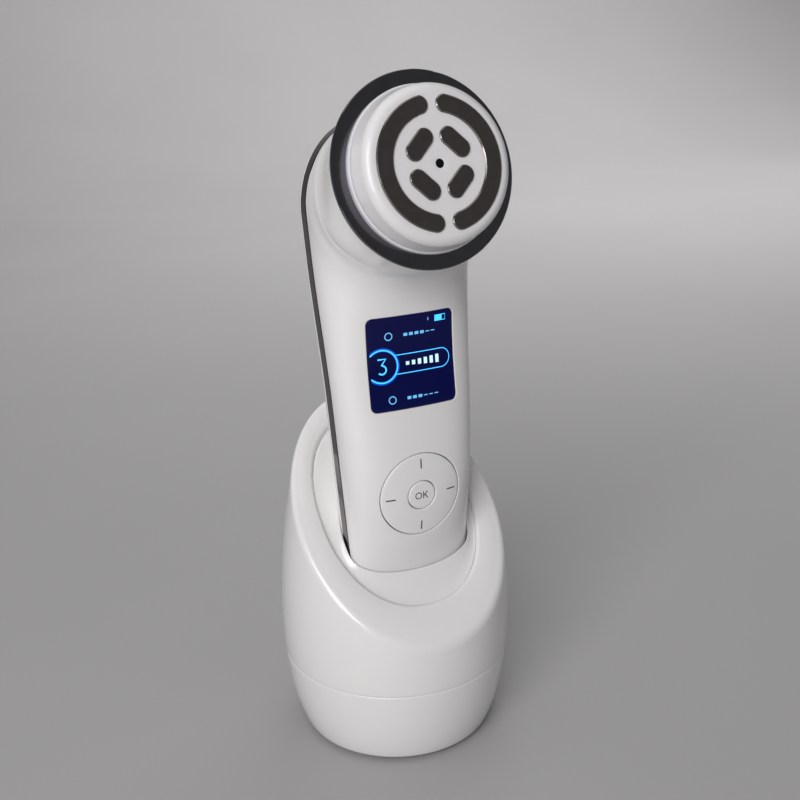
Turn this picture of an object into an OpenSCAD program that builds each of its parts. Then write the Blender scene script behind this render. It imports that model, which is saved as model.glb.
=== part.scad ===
// Facial toning handset standing in its charging dock.
// Millimetres, +Z up, front towards -Y. The origin is the centre of the dock's foot on the table.

/* [Dock] */
// Radius of the dock at its widest point
belly_r = 35.9; // [34:0.1:38]
// Height of the widest point above the table
belly_z = 38; // [34:0.5:42]
// How far the wall draws in between the belly and the table
tuck_in = 11.7; // [8:0.1:14]
// Height over which that lower curve would reach its full tuck
tuck_h = 42; // [40:0.5:48]
// How far the wall leans in above the belly
lean_in = 8.9; // [7.5:0.1:9.6]
// Height over which the upper wall leans in
lean_h = 66; // [62:1:74]
// Height of the seam between the lower and the upper housing
seam_z = 26.4; // [24:0.2:29]
// Height of the sloping rim at the dock's axis
rim_z = 77.4; // [74:0.2:80]
// Slope of the rim, front low and back high, in degrees
rim_slope = 44.6; // [41:0.2:46]
// Length of the soft outer edge of the rim along each face
rim_soft = 2.2; // [1.5:0.1:4]
// Rise of the rim's band between its two edges
band_crown = 0.2; // [0:0.1:0.6]
// Wall thickness of the dock's housings
dock_wall = 2.2; // [1.8:0.1:3]

/* [Cradle] */
// Half-width of the recess in the rim
recess_x = 24.6; // [23.6:0.1:25]
// Half-length of the recess in the rim, seen from above
recess_y = 23.3; // [22.6:0.1:24]
// Place of the recess's centre in front of the dock's axis
recess_forward = 2.5; // [2:0.1:3]
// Radius of the rounded lip where the rim turns down into the recess
lip_r = 1.4; // [1:0.1:2]
// Depth of the recess at its outer edge, square to the rim
recess_depth = 1.5; // [1.2:0.1:2.2]
// Depth of the recess where it meets the socket, square to the rim
slot_drop = 0; // [0:0.1:0.5]
// Clearance round the handset in its socket
socket_clear = 0.45; // [0.35:0.05:0.8]
// Wall thickness of the cradle insert
cradle_wall = 1.8; // [1.2:0.1:2.2]

/* [Handset body] */
// Lean of the handset towards the back, in degrees
lean = 4; // [2:0.5:6]
// Place of the handset's foot in front of the dock's axis
foot_y = -8; // [-9:0.1:-7]
// Height of the handset's foot above the table
foot_z = 22; // [20:0.5:26]
// Half-width of the body where its straight side lines reach the foot
foot_w = 17.4; // [16.5:0.1:18]
// How much the foot's corners draw in
foot_round = 7; // [4:0.5:9]
// Height of the foot's rounded corners
foot_soft = 16; // [12:1:20]
// Radius of the head's outline
head_r = 24.2; // [23.6:0.1:24.6]
// Height of that outline's centre above the foot
head_h = 144.8; // [143:0.2:147]
// Depth of the rear shell behind the parting line
rear_depth = 16.5; // [15:0.5:18]
// Wall thickness of the handset's shells
shell_wall = 2; // [1.6:0.1:2.2]
// Width of the dark trim band up the sides and over the head
trim_w = 4.1; // [3:0.1:5]
// Width of the trim band across the foot
trim_foot_w = 2; // [1.6:0.1:2.6]
// How far the trim band stands proud of the shells
trim_proud = 0.15; // [0.05:0.05:0.3]
// Thickness of the trim band
trim_t = 1.6; // [1.2:0.1:2]

/* [Head] */
// Height of the mirror ring's centre above the foot
ring_h = 155.5; // [154:0.1:157]
// Distance of the mirror ring's centre in front of the handset's axis
ring_y = 28.84; // [28:0.1:30]
// Upward tilt of the head against the handset's axis, in degrees
head_tilt = 13.1; // [11:0.1:15]
// Outer radius of the mirror ring
ring_r = 26.3; // [25.8:0.1:27]
// Thickness of the mirror ring
ring_t = 1; // [0.8:0.1:1.4]
// Radius of the shell's land under the mirror ring
land_r = 24.6; // [24:0.1:25]
// Radius of the light ring inside the mirror ring
glow_r = 22.2; // [21.9:0.1:22.5]
// Height of the light ring above the mirror ring's face
glow_h = 1.6; // [1.2:0.1:2]
// Radius of the treatment cap at its foot
cap_r = 21.7; // [21.4:0.1:21.8]
// Height of the treatment face above the mirror ring's face
face_h = 9.06; // [8:0.1:10]
// Radius of the cap's rounded shoulder
shoulder_r = 2.8; // [2:0.1:3]
// Thickness of the cap's wall and face
cap_wall = 1.8; // [1.5:0.1:2.2]

/* [Electrodes] */
// Radius to the middle of the two long arc electrodes
arc_r = 15.4; // [15:0.1:15.8]
// Width of the arc electrodes
arc_w = 4.8; // [4:0.1:5]
// Gap between the rounded ends of the arc electrodes
arc_gap = 2.2; // [1.8:0.1:3]
// Length of the four small electrodes
pad_len = 9.7; // [9:0.1:10]
// Width of the four small electrodes
pad_w = 5; // [4.4:0.1:5]
// Radius to the middle of the small electrodes
pad_r = 7.2; // [7:0.1:7.4]
// Height of the electrodes above the treatment face
electrode_rise = 0.5; // [0.3:0.1:0.8]
// Size of the polished bevel round each electrode
electrode_bevel = 0.3; // [0.2:0.05:0.4]
// Radius of the skin sensor's lens
sensor_r = 1.15; // [1:0.05:1.4]

/* [Controls] */
// Height of the navigation ring's centre above the foot
nav_h = 61.2; // [59:0.2:63]
// Radius of the navigation ring
nav_r = 12.7; // [12.2:0.1:13.2]
// Radius of the OK button
ok_r = 4.3; // [4.1:0.1:4.8]
// Gap round the moving controls
key_gap = 0.25; // [0.2:0.01:0.3]
// Travel of the OK button
ok_travel = 0.4; // [0.3:0.05:0.5]
// Height of the screen's centre above the foot
screen_h = 101.4; // [100:0.2:103]
// Width of the screen's window
screen_w = 27; // [25:0.1:28]
// Height of the screen's window
screen_l = 27; // [25:0.1:28]
// Corner radius of the screen's window
screen_corner = 1.7; // [1.4:0.1:2.6]

/* [Inside the handset] */
// Distance of the main board's front in front of the handset's axis
board_y = 11; // [10.8:0.1:11.2]
// Thickness of the circuit boards
board_t = 1.6; // [1:0.1:1.6]
// Width of the main board
board_w = 26; // [24:0.5:27]
// Thickness of the battery
battery_t = 9; // [7:0.5:10]
// Width of the battery
battery_w = 26; // [22:1:28]
// Length of the battery
battery_l = 50; // [44:1:52]
// Radius of the charging contacts
contact_r = 1.6; // [1.3:0.1:1.8]
// Spacing of the charging contacts
contact_pitch = 6; // [5:0.2:6.4]

/* [Inside the dock] */
// Thickness of the silicone foot pad
foot_pad_t = 1; // [0.8:0.1:1.4]
// Radius of the silicone foot pad
foot_pad_r = 26.5; // [24:0.5:27.5]
// Thickness of the base plate
base_t = 2; // [1.6:0.1:2.4]
// Thickness of the steel ballast weight
ballast_t = 4.5; // [3:0.1:5]
// Radius of the steel ballast weight
ballast_r = 20; // [18:0.5:22]
// Travel of the spring-loaded charging pins
pin_travel = 1.2; // [0.8:0.1:1.4]
// Width of the power inlet
inlet_w = 9; // [8.6:0.1:9.4]
// Height of the power inlet
inlet_h = 3.2; // [3:0.1:3.6]

/* [Hidden] */
$fn = 64;

// Small gap left between pieces that touch
skin = 0.05;
// Allowance for cuts that run past a face
over = 1;

white = "#e9e7e4";
satin_white = "#e4dfde";
smoke = "#3a3a3f";
electrode_brown = "#57504d";
navy = "#0b1250";
board_green = "#1f5c3a";
steel = "#9a9da1";
gold = "#c9a24a";
black = "#1c1c1e";
grey = "#8a8b8d";

// ---------- plain mathematics ----------
function mix(a, b, t) = a + (b - a) * t;
function ease(t) = let(c = min(max(t, 0), 1)) c * c * (3 - 2 * c);
function unit(v) = v / norm(v);
function bezier(a, b, c, d, t) = let(s = 1 - t)
    s*s*s * a + 3*s*s*t * b + 3*s*t*t * c + t*t*t * d;
// Smooth curve through points of the form [place, value]
function span(p, x, i = 0) = (i >= len(p) - 2 || x < p[i + 1][0]) ? i : span(p, x, i + 1);
function lean_of(p, i) = let(a = max(i - 1, 0), b = min(i + 1, len(p) - 1))
    (p[b][1] - p[a][1]) / (p[b][0] - p[a][0]);
function curve(p, x) = let(
        i = span(p, x),
        w = p[i + 1][0] - p[i][0],
        t = (x - p[i][0]) / w,
        m0 = lean_of(p, i) * w,
        m1 = lean_of(p, i + 1) * w)
    p[i][1] * (2*t*t*t - 3*t*t + 1) + m0 * (t*t*t - 2*t*t + t)
    + p[i + 1][1] * (3*t*t - 2*t*t*t) + m1 * (t*t*t - t*t);

// ---------- solids from rings of points ----------
// A stack of closed rings with flat ends
module ring_stack(rings) {
    n = len(rings[0]);
    last = len(rings) - 1;
    sides = [for (k = [0 : last - 1], i = [0 : n - 1]) let(j = (i + 1) % n)
        each [[k*n + i, k*n + j, (k + 1)*n + i], [k*n + j, (k + 1)*n + j, (k + 1)*n + i]]];
    first_end = [[for (i = [n - 1 : -1 : 0]) i]];
    last_end = [[for (i = [0 : n - 1]) last*n + i]];
    polyhedron([for (r = rings) each r], concat(first_end, sides, last_end), convexity = 6);
}

// A stack of rings whose last ring joins the first one
module ring_loop(rings) {
    n = len(rings[0]);
    m = len(rings);
    faces = [for (k = [0 : m - 1], i = [0 : n - 1]) let(j = (i + 1) % n, l = (k + 1) % m)
        each [[k*n + i, k*n + j, l*n + i], [k*n + j, l*n + j, l*n + i]]];
    polyhedron([for (r = rings) each r], faces, convexity = 8);
}

// ---------- handset outline, in the handset's own frame: x, y and height h above the foot ----------
// Angle of the straight side lines, tangent to the head's outline
side_angle = asin(head_r / norm([foot_w, head_h])) - atan(foot_w / head_h);
side_top_h = head_h - head_r * sin(side_angle);
head_top_h = head_h + head_r;

// Distance from the axis to the front face along the middle, at heights above the foot
face_line = [[0, 8], [18, 10.4], [35, 11.8], [48, 15.2], [61, 17.3], [78, 17.4], [101, 15.7], [114, 16.1]];
// Parting line between the shells: it runs level, moves back at the neck and again over the head
part_low = -6.2;
part_high = -3.6;
part_top_shift = 5.6;
part_bend_from = 88;
part_bend_to = 132;
part_top_from = head_h + 3.2;
// Fullness of the front's corners, between an ellipse at 0.55 and a square at 1: soft in the dock, fuller above
low_fullness = 0.56;
high_fullness = 0.75;
fuller_from = 40;
fuller_to = 72;

function face_depth(h) = curve(face_line, h);
function part_y(h) = part_low + (part_high - part_low) * ease((h - part_bend_from) / (part_bend_to - part_bend_from))
    + part_top_shift * pow(max(0, (h - part_top_from) / (head_top_h - part_top_from)), 2);
function side_w(h) = foot_w + h * tan(side_angle)
    - foot_round * pow(max(0, 1 - h / foot_soft), 2.2);
function fullness(h) = mix(low_fullness, high_fullness, ease((h - fuller_from) / (fuller_to - fuller_from)));
// Outline point [half-width, height] at run u: u up to side_top_h climbs the side, then u in degrees goes over the top
function outline(u, inset) = u <= side_top_h
    ? [side_w(u) - inset, u]
    : let(a = (u - side_top_h) - side_angle) [(head_r - inset) * cos(a), head_h + (head_r - inset) * sin(a)];
outline_end = side_top_h + 90 + side_angle;

// Body heights used for the sections, closer together at the rounded foot
foot_steps = [0, 1.2, 3, 5.5, 9, 13];
neck_from = 104;
body_steps = concat(foot_steps, [for (i = [0 : 12]) mix(18.5, neck_from, i / 12)]);

// ---------- head frame ----------
head_up = [0, sin(head_tilt), cos(head_tilt)];
head_out = [0, -cos(head_tilt), sin(head_tilt)];
ring_centre = [0, -ring_y, ring_h];
// Centre of the shell's land under the mirror ring
function land_centre(inset) = ring_centre - (ring_t + inset) * head_out;

// ---------- front shell surface: level sections up the body, then sections that turn with the neck ----------
// Least half-width of a section's end, along the ridge behind the ring
ridge_w = 0.2;
rib_steps = 10;
// Lengths of the handles that shape the neck's middle line and the ridge behind the ring
neck_rise = 18;
neck_reach = 14;
ridge_reach = 9;
// Share of the turned sections that end on the parting line; the others end on the ridge
top_share = 0.714;
// Places of the turned sections: up the neck, over the head's outline by even angles, then along the ridge
function outline_share(a) = top_share * (head_h + head_r * sin(a) - neck_from) / (head_top_h - neck_from);
neck_steps = concat([for (i = [1 : 7]) outline_share(0) * i / 8], [for (a = [0, 13, 26, 39, 52, 64, 75, 84, 90]) outline_share(a)],
    [for (i = [1 : 4]) mix(top_share, 1, i / 4)]);
// Fullness of a true round
round_full = 0.5523;
// Shares between which a section's widest place moves in from the parting line, and how far
widest_from = 0.3;
widest_to = 0.78;
widest_drop = 0.62;

// Middle line of the neck, from the face up and out to the lowest point of the land
function neck_point(s, inset) = let(
        start = [0, -face_depth(neck_from) + inset, neck_from],
        up = [0, tan(face_lean(neck_from)), 1] * neck_rise,
        finish = land_centre(inset) - (land_r - inset) * head_up)
    bezier(start, start + up, finish - neck_reach * head_out, finish, s);
function parting_h(s, inset) = mix(neck_from, head_top_h - inset, min(s / top_share, 1));
function back_point(s, inset) = s <= top_share
    ? let(h = parting_h(s, inset)) [0, part_y(h), h]
    : let(start = [0, part_y(head_top_h), head_top_h - inset],
        finish = land_centre(inset) + (land_r - inset) * head_up)
        bezier(start, start - [0, ridge_reach, 0], finish - ridge_reach * head_out, finish,
            (s - top_share) / (1 - top_share));
function widest_share(s) = 1 - mix(widest_drop * ease((s - widest_from) / (widest_to - widest_from)), 0.5,
    ease((s - widest_to) / (1 - widest_to)));
// Half-width of the parting line where a section ends, and how fast half its square closes upwards
function parting_end(s, inset) = let(h = parting_h(s, inset)) h <= side_top_h
    ? [side_w(h) - inset, 0]
    : [sqrt(max(pow(head_r - inset, 2) - pow(h - head_h, 2), 0)), max(h - head_h, 0)];
function parting_width(s, inset) = let(
        along = back_point(s, inset) - neck_point(s, inset),
        end = parting_end(s, inset))
    sqrt(end[0] * end[0] + end[1] * along[2] * (1 - widest_share(s)));
function section_width(s, inset) = s <= top_share ? parting_width(s, inset) : let(
        t = (s - top_share) / (1 - top_share),
        top = parting_width(top_share, inset),
        rate = (top - parting_width(top_share - 0.001, inset)) / 0.001 * (1 - top_share))
    top * (2*t*t*t - 3*t*t + 1) + rate * (t*t*t - 2*t*t + t) + (land_r - inset) * (3*t*t - 2*t*t*t);

// Ribs run from the parting line or the ridge to the middle of the front
function body_rib(h, inset, back) = let(
        depth = face_depth(h) - inset,
        w = side_w(h) - inset,
        y = part_y(h),
        full = fullness(h))
    [for (k = [rib_steps : -1 : 0]) bezier([0, -depth, h], [full * w, -depth, h], [w, y - full * (depth + y), h],
        [w, y, h], k / rib_steps) + (k == rib_steps ? [0, back, 0] : [0, 0, 0])];

function neck_rib(s, inset, back) = let(
        low = neck_point(s, inset),
        reach = back_point(s, inset) - low,
        w = section_width(s, inset),
        share = widest_share(s),
        full = mix(high_fullness, round_full, ease(s / 0.9)),
        end = parting_end(s, inset),
        rest = 1 - share,
        closing = end[1] * reach[2],
        round_end = end[0] == 0 || closing > 0,
        half = end[0] > 0 && closing > 0 ? sqrt(rest * rest + rest * end[0] * end[0] / closing) : rest,
        turn = half > 0 ? asin(min(rest / half, 1)) : 0)
    [for (k = [rib_steps : -1 : 0]) let(
            t = k / rib_steps,
            a = min(t / share, 1),
            b = rest > 0 ? max((t - share) / rest, 0) : 0,
            across = b == 0 ? bezier(0, full * w, w, w, a) : round_end ? w * cos(turn * b) : w,
            run = b == 0 ? share * bezier(0, 0, 1 - full, 1, a) : share + (round_end ? half * sin(turn * b) : rest * b),
            p = low + reach * run)
        [k == rib_steps ? max(across, ridge_w) : across, p[1] + (k == rib_steps ? back : 0), p[2]]];

function mirrored(p) = [-p[0], p[1], p[2]];
function face_ring(side) = concat(side, [for (k = [rib_steps - 1 : -1 : 0]) mirrored(side[k])]);

// A solid between ribs, closed along the parting line
module rib_solid(ribs) {
    rings = [for (r = ribs) face_ring(r)];
    n = 2 * rib_steps + 1;
    last = len(rings) - 1;
    sides = [for (k = [0 : last - 1], i = [0 : n - 1]) let(j = (i + 1) % n)
        each [[k*n + i, k*n + j, (k + 1)*n + i], [k*n + j, (k + 1)*n + j, (k + 1)*n + i]]];
    // Strips across an end, from each point to its mirrored one
    low_end = [for (i = [0 : rib_steps - 1]) let(j = n - 1 - i)
        each i < rib_steps - 1 ? [[i, j, i + 1], [i + 1, j, j - 1]] : [[i, j, i + 1]]];
    high_end = [for (f = low_end) [f[0] + last * n, f[2] + last * n, f[1] + last * n]];
    polyhedron([for (r = rings) each r], concat(sides, low_end, high_end), convexity = 8);
}

function front_ribs(inset, back) = concat(
    [for (h = body_steps) body_rib(max(h, inset), inset, back)],
    [for (s = neck_steps) neck_rib(s, inset, back)]);
// Heights above the foot at which an inner surface keeps its own sections
function kept(ribs, inset) = [for (i = [0 : len(ribs) - 1]) if (i == 0 || ribs[i][0][2] > inset + 0.5) ribs[i]];

// The front skin as a solid block over a short run of the body
module skin_block(middle, half_run) {
    rib_solid([for (i = [-4 : 4]) body_rib(middle + half_run * i / 4, 0, 0)]);
}

// ---------- placing things ----------
module seated() translate([0, foot_y, foot_z]) rotate([-lean, 0, 0]) children();
module on_head() seated() translate(ring_centre) rotate([90 - head_tilt, 0, 0]) children();
function face_lean(h) = -atan((face_depth(h + 1) - face_depth(h - 1)) / 2);
module on_face(h) translate([0, -face_depth(h), h]) rotate([90 - face_lean(h), 0, 0]) children();
// Handset frame to the dock's frame
function to_dock(p) = [p[0], foot_y + p[1] * cos(lean) + p[2] * sin(lean),
    foot_z - p[1] * sin(lean) + p[2] * cos(lean)];

// ---------- handset shells ----------
head_bore_r = 19.4;
nav_bore_r = nav_r + key_gap;
window_clear = 0.1;
// Reach of a cut through the front skin, behind it and in front of it
cut_behind = 8;
cut_before = 4;

module rounded_window(w, l, r, t) {
    linear_extrude(t) union() {
        square([w - 2 * r, l], center = true);
        square([w, l - 2 * r], center = true);
        for (x = [-1, 1], y = [-1, 1]) translate([x * (w / 2 - r), y * (l / 2 - r)]) circle(r);
    }
}

module front_shell() color(white) {
    seated() difference() {
        rib_solid(front_ribs(0, 0));
        rib_solid(kept(front_ribs(shell_wall, over), shell_wall));
        on_face(nav_h) translate([0, 0, -cut_behind]) cylinder(r = nav_bore_r, h = cut_behind + cut_before);
        on_face(screen_h) translate([0, 0, -cut_behind])
            rounded_window(screen_w + 2 * window_clear, screen_l + 2 * window_clear,
                screen_corner + window_clear, cut_behind + cut_before);
        translate(ring_centre) rotate([90 - head_tilt, 0, 0])
            translate([0, 0, -cut_behind]) cylinder(r = head_bore_r + skin, h = cut_behind + cut_before);
    }
}

rear_turns = 20;
contact_rows = [for (i = [-1 : 1]) i * contact_pitch];
contact_y = part_low + trim_foot_w + 2.4;
// Height over which the trim band widens from the foot upwards
trim_grows = 26;
function band_at(h) = mix(trim_foot_w, trim_w, ease(h / trim_grows));
function rear_b(u, inset) = let(a = max(0, u - side_top_h - side_angle))
    (rear_depth - inset) * pow(max(cos(min(a, 89)), 0.01), 0.75)
    - 6.5 * pow(max(0, 1 - u / 22), 2);
function rear_ring(u, inset, forward) = let(
        o = outline(u, inset),
        band = band_at(o[1]),
        y = part_y(o[1]) + band,
        b = max(rear_b(u, inset) - band, 0.4))
    concat([for (i = [rear_turns : -1 : 0]) let(a = 180 * i / rear_turns) [o[0] * cos(a), y + b * sin(a), o[1]]],
        forward > 0 ? [[o[0], y - forward, o[1]], [-o[0], y - forward, o[1]]] : []);
rear_runs = concat(foot_steps, [for (i = [0 : 15]) mix(18.5, side_top_h, i / 15)],
    [for (a = [8 : 8 : 80]) side_top_h + a], [side_top_h + 86]);
function inner_runs(inset) = [for (u = rear_runs) if (u == 0 || u > inset + 0.5) max(u, inset)];

module rear_shell() color(white) {
    seated() difference() {
        ring_stack([for (u = rear_runs) rear_ring(u, 0, 0)]);
        ring_stack([for (u = inner_runs(shell_wall)) rear_ring(u, shell_wall, over)]);
        for (x = contact_rows) translate([x, contact_y, -over]) cylinder(r = contact_r + skin, h = shell_wall + 2 * over);
    }
}

trim_runs = concat(foot_steps, [for (i = [0 : 12]) mix(18.5, side_top_h, i / 12)],
    [for (a = [7 : 7 : 84]) side_top_h + a], [outline_end]);
function trim_corner(u, inset, back) = let(
        o = outline(max(u, inset), inset),
        y = back ? band_at(o[1]) - skin : skin)
    [max(o[0], 0), part_y(o[1]) + y, o[1]];
function trim_section(u) = [
    trim_corner(u, -trim_proud, false), trim_corner(u, trim_t, false),
    trim_corner(u, trim_t, true), trim_corner(u, -trim_proud, true)];
module side_trim() color(smoke) {
    half = [for (u = trim_runs) trim_section(u)];
    other = [for (i = [len(trim_runs) - 2 : -1 : 0]) [for (p = half[i]) mirrored(p)]];
    seated() ring_loop(concat(half, other));
}

// ---------- head ----------
module head_ring() color(smoke) {
    bore = glow_r + 0.1;
    edge = 0.2;
    on_head() rotate_extrude() polygon([
        [bore, -ring_t + skin], [ring_r - edge, -ring_t + skin], [ring_r, -ring_t + edge],
        [ring_r, -edge], [ring_r - edge, 0], [bore, 0]]);
}

spigot_r = head_bore_r;
spigot_h = 3;
glow_wall = 2;
module light_ring() color(satin_white) {
    soft = 0.35;
    on_head() rotate_extrude() polygon([
        [spigot_r - glow_wall, -ring_t - spigot_h], [spigot_r, -ring_t - spigot_h],
        [spigot_r, -ring_t + skin], [glow_r, -ring_t + skin],
        [glow_r, glow_h - soft], [glow_r - soft, glow_h], [spigot_r - glow_wall, glow_h]]);
}

cap_taper = 0.6;
// Outline of the cap's wall, shoulder and face at a given depth under the surface
function cap_profile(inset) = let(
        r = cap_r - cap_taper - inset,
        round_r = max(shoulder_r - inset, 0.5),
        top = face_h - inset)
    concat([[cap_r - inset, glow_h + skin]],
        [for (a = [0 : 15 : 90]) [r - round_r + round_r * cos(a), top - round_r + round_r * sin(a)]]);
module head_cap() color(satin_white) {
    on_head() difference() {
        rotate_extrude() polygon(concat([[0, glow_h + skin]], cap_profile(0), [[0, face_h]]));
        rotate_extrude() polygon(concat([[0, glow_h - over]], [[cap_r - cap_wall, glow_h - over]],
            cap_profile(cap_wall), [[0, face_h - cap_wall]]));
        at_arcs() arc_form(arc_w + 2 * skin, face_h - cap_wall - over, cap_wall + 2 * over, 0);
        at_pads() pad_form(pad_len + 2 * skin, pad_w + 2 * skin, face_h - cap_wall - over, cap_wall + 2 * over, 0);
        translate([0, 0, face_h - cap_wall - over]) cylinder(r = sensor_r + skin, h = cap_wall + 2 * over);
    }
}

arc_end = asin((arc_gap + arc_w) / 2 / arc_r);
module at_arcs() for (turn = [0, 180]) rotate(turn) children();
module at_pads() for (turn = [45 : 90 : 315]) rotate(turn) translate([pad_r, 0, 0]) rotate(90) children();

// A bevelled disc for the rounded ends
module bevel_disc(r, z, t, bevel) {
    translate([0, 0, z]) cylinder(r = r, h = t - bevel);
    if (bevel > 0) translate([0, 0, z + t - bevel]) cylinder(r1 = r, r2 = r - bevel, h = bevel);
}

function bevel_outline(w, z, t, bevel) = bevel > 0
    ? [[-w / 2, z], [w / 2, z], [w / 2, z + t - bevel], [w / 2 - bevel, z + t], [bevel - w / 2, z + t], [-w / 2, z + t - bevel]]
    : [[-w / 2, z], [w / 2, z], [w / 2, z + t], [-w / 2, z + t]];

module arc_form(w, z, t, bevel) {
    rotate(arc_end - 90) rotate_extrude(angle = 180 - 2 * arc_end)
        translate([arc_r, 0]) polygon(bevel_outline(w, z, t, bevel));
    for (a = [arc_end - 90, 90 - arc_end])
        rotate(a) translate([arc_r, 0, 0]) bevel_disc(w / 2, z, t, bevel);
}

module pad_form(l, w, z, t, bevel) {
    straight = l - w;
    translate([straight / 2, 0, 0]) rotate([90, 0, -90]) linear_extrude(straight)
        polygon(bevel_outline(w, z, t, bevel));
    for (x = [-1, 1]) translate([x * straight / 2, 0, 0]) bevel_disc(w / 2, z, t, bevel);
}

electrode_t = cap_wall + electrode_rise;
module arc_electrodes() color(electrode_brown) on_head() at_arcs()
    arc_form(arc_w, face_h - cap_wall, electrode_t, electrode_bevel);
module pad_electrodes() color(electrode_brown) on_head() at_pads()
    pad_form(pad_len, pad_w, face_h - cap_wall, electrode_t, electrode_bevel);
module sensor_lens() color(black) on_head() translate([0, 0, face_h - cap_wall])
    cylinder(r = sensor_r, h = cap_wall - 0.1);

head_board_r = spigot_r - glow_wall - skin;
head_board_z = glow_h - 2.4;
module head_board() color(board_green) on_head() translate([0, 0, head_board_z]) difference() {
    cylinder(r = head_board_r, h = board_t);
    for (turn = [0, 180]) rotate(turn) translate([head_board_r - 3, 0, -over]) cylinder(r = 1.2, h = board_t + 2 * over);
}

// Spring posts that carry the current from the board to each electrode
module contact_springs() color(gold) on_head() {
    low = head_board_z + board_t;
    high = face_h - cap_wall;
    places = concat([for (s = [-1, 1]) [s * arc_r, 0]],
        [for (a = [45 : 90 : 315]) pad_r * [cos(a), sin(a)]]);
    for (p = places) translate([p[0], p[1], low + skin]) {
        cylinder(r = 1.5, h = (high - low) * 0.45);
        cylinder(r = 0.8, h = high - low - 2 * skin);
    }
}

// ---------- controls and screen ----------
nav_under = 3.6;
nub_r = 9.85;
nub_places = [[nub_r, 0], [-nub_r, 0], [0, nub_r], [0, -nub_r]];
// Room under each nub before it meets its switch
nub_gap = 0.4;
dome_h = 0.55;
dome_top = board_y + skin + dome_h;
nub_reach = face_depth(nav_h) - dome_top - nub_gap - nav_under / 2;
nav_bore = ok_r + key_gap;

module nav_ring() color(white) seated() {
    intersection() {
        skin_block(nav_h, nav_r + 7);
        on_face(nav_h) translate([0, 0, -nav_under]) difference() {
            cylinder(r = nav_r, h = nav_under + cut_before);
            translate([0, 0, -over]) cylinder(r = nav_bore, h = nav_under + cut_before + 2 * over);
        }
    }
    for (p = nub_places) translate([p[0], -dome_top - nub_gap, nav_h + p[1]]) rotate([90, 0, 0])
        cylinder(r = 1.3, h = nub_reach);
}

// The collar lies between the ring and the board, with room for the ring's tilt, and takes most of what is left
collar_r = nub_r - 2.45;
collar_gap = 0.3;
collar_h = 0.75 * (face_depth(nav_h) - nav_under - board_y - collar_gap - collar_r * abs(sin(face_lean(nav_h))));
module nav_collar() color(grey) seated() on_face(nav_h) translate([0, 0, -nav_under - collar_gap - collar_h]) difference() {
    cylinder(r = collar_r, h = collar_h);
    translate([0, 0, -over]) cylinder(r = nav_bore + 0.4, h = collar_h + 2 * over);
}

// The button's foot stands its own travel above the switch, also at its lower edge
ok_under = face_depth(nav_h) - dome_top - ok_travel - skin - ok_r / 2 * abs(sin(face_lean(nav_h)));
module ok_button() color(white) seated() intersection() {
    skin_block(nav_h, nav_r + 7);
    on_face(nav_h) translate([0, 0, -ok_under]) cylinder(r = ok_r, h = ok_under + cut_before);
}

lens_t = 1.3;
// Depth of the lens's rim behind the face
lens_rim = 3;
module display_lens() color(navy) seated() difference() {
    intersection() {
        skin_block(screen_h, screen_l / 2 + 6.5);
        on_face(screen_h) translate([0, 0, -lens_rim]) rounded_window(screen_w, screen_l, screen_corner, lens_rim + cut_before);
    }
    on_face(screen_h) translate([0, 0, -lens_t - lens_rim]) linear_extrude(lens_rim)
        square([screen_w - 5, screen_l - 5], center = true);
}

module display_module() color(black) seated() {
    intersection() {
        on_face(screen_h) translate([0, 0, -lens_t - skin - cut_behind]) linear_extrude(cut_behind)
            square([screen_w - 6, screen_l - 6], center = true);
        translate([-screen_w, -board_y - skin - screen_l, screen_h - screen_l]) cube([2 * screen_w, screen_l, 2 * screen_l]);
    }
}

// ---------- inside the handset ----------
board_high = screen_h + 17;
// The battery hangs under the transformer, and the lower screws clear it
battery_low = board_high - 14 - battery_l;
board_low = min(nav_h - 13, battery_low - 6);
module board_blank(t) translate([-board_w / 2, -board_y, board_low]) cube([board_w, t, board_high - board_low]);
board_holes = [for (x = [-1, 1], h = [board_low + 3, board_high - 3]) [x * (board_w / 2 - 3), h]];
module at_board_holes() for (p = board_holes) translate([p[0], 0, p[1]]) rotate([-90, 0, 0]) children();

module main_board() color(board_green) seated() difference() {
    board_blank(board_t);
    at_board_holes() translate([0, 0, -board_y - over]) cylinder(r = 1.1, h = board_t + 2 * over);
}

frame_t = 1.2;
frame_w = battery_w + 3;
frame_y = -board_y + board_t + skin;
module inner_frame() color(grey) seated() difference() {
    union() {
        translate([-frame_w / 2, frame_y, board_low]) cube([frame_w, frame_t, board_high - board_low]);
        for (x = [-1, 1]) translate([(x * (frame_w - frame_t) - frame_t) / 2, frame_y, board_low])
            cube([frame_t, frame_t + battery_t / 2, battery_low + battery_l - board_low]);
    }
    at_board_holes() translate([0, 0, frame_y - over]) cylinder(r = 1.1, h = frame_t + 2 * over);
}

module board_screws() color(steel) seated() at_board_holes() {
    translate([0, 0, frame_y + frame_t]) cylinder(r = 1.9, h = 1.1);
    translate([0, 0, -board_y - 0.9]) cylinder(r = 1.05, h = frame_y + frame_t + board_y + 0.9);
}

battery_y = frame_y + frame_t + skin;
module battery() color("#5d7ea6") seated() translate([-battery_w / 2, battery_y, battery_low])
    cube([battery_w, battery_t, battery_l]);

module dome_switches() color(steel) seated() for (p = concat([[0, 0]], nub_places))
    translate([p[0], -board_y - skin, nav_h + p[1]]) rotate([90, 0, 0]) cylinder(r1 = 2.2, r2 = 1.4, h = dome_h);

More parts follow.
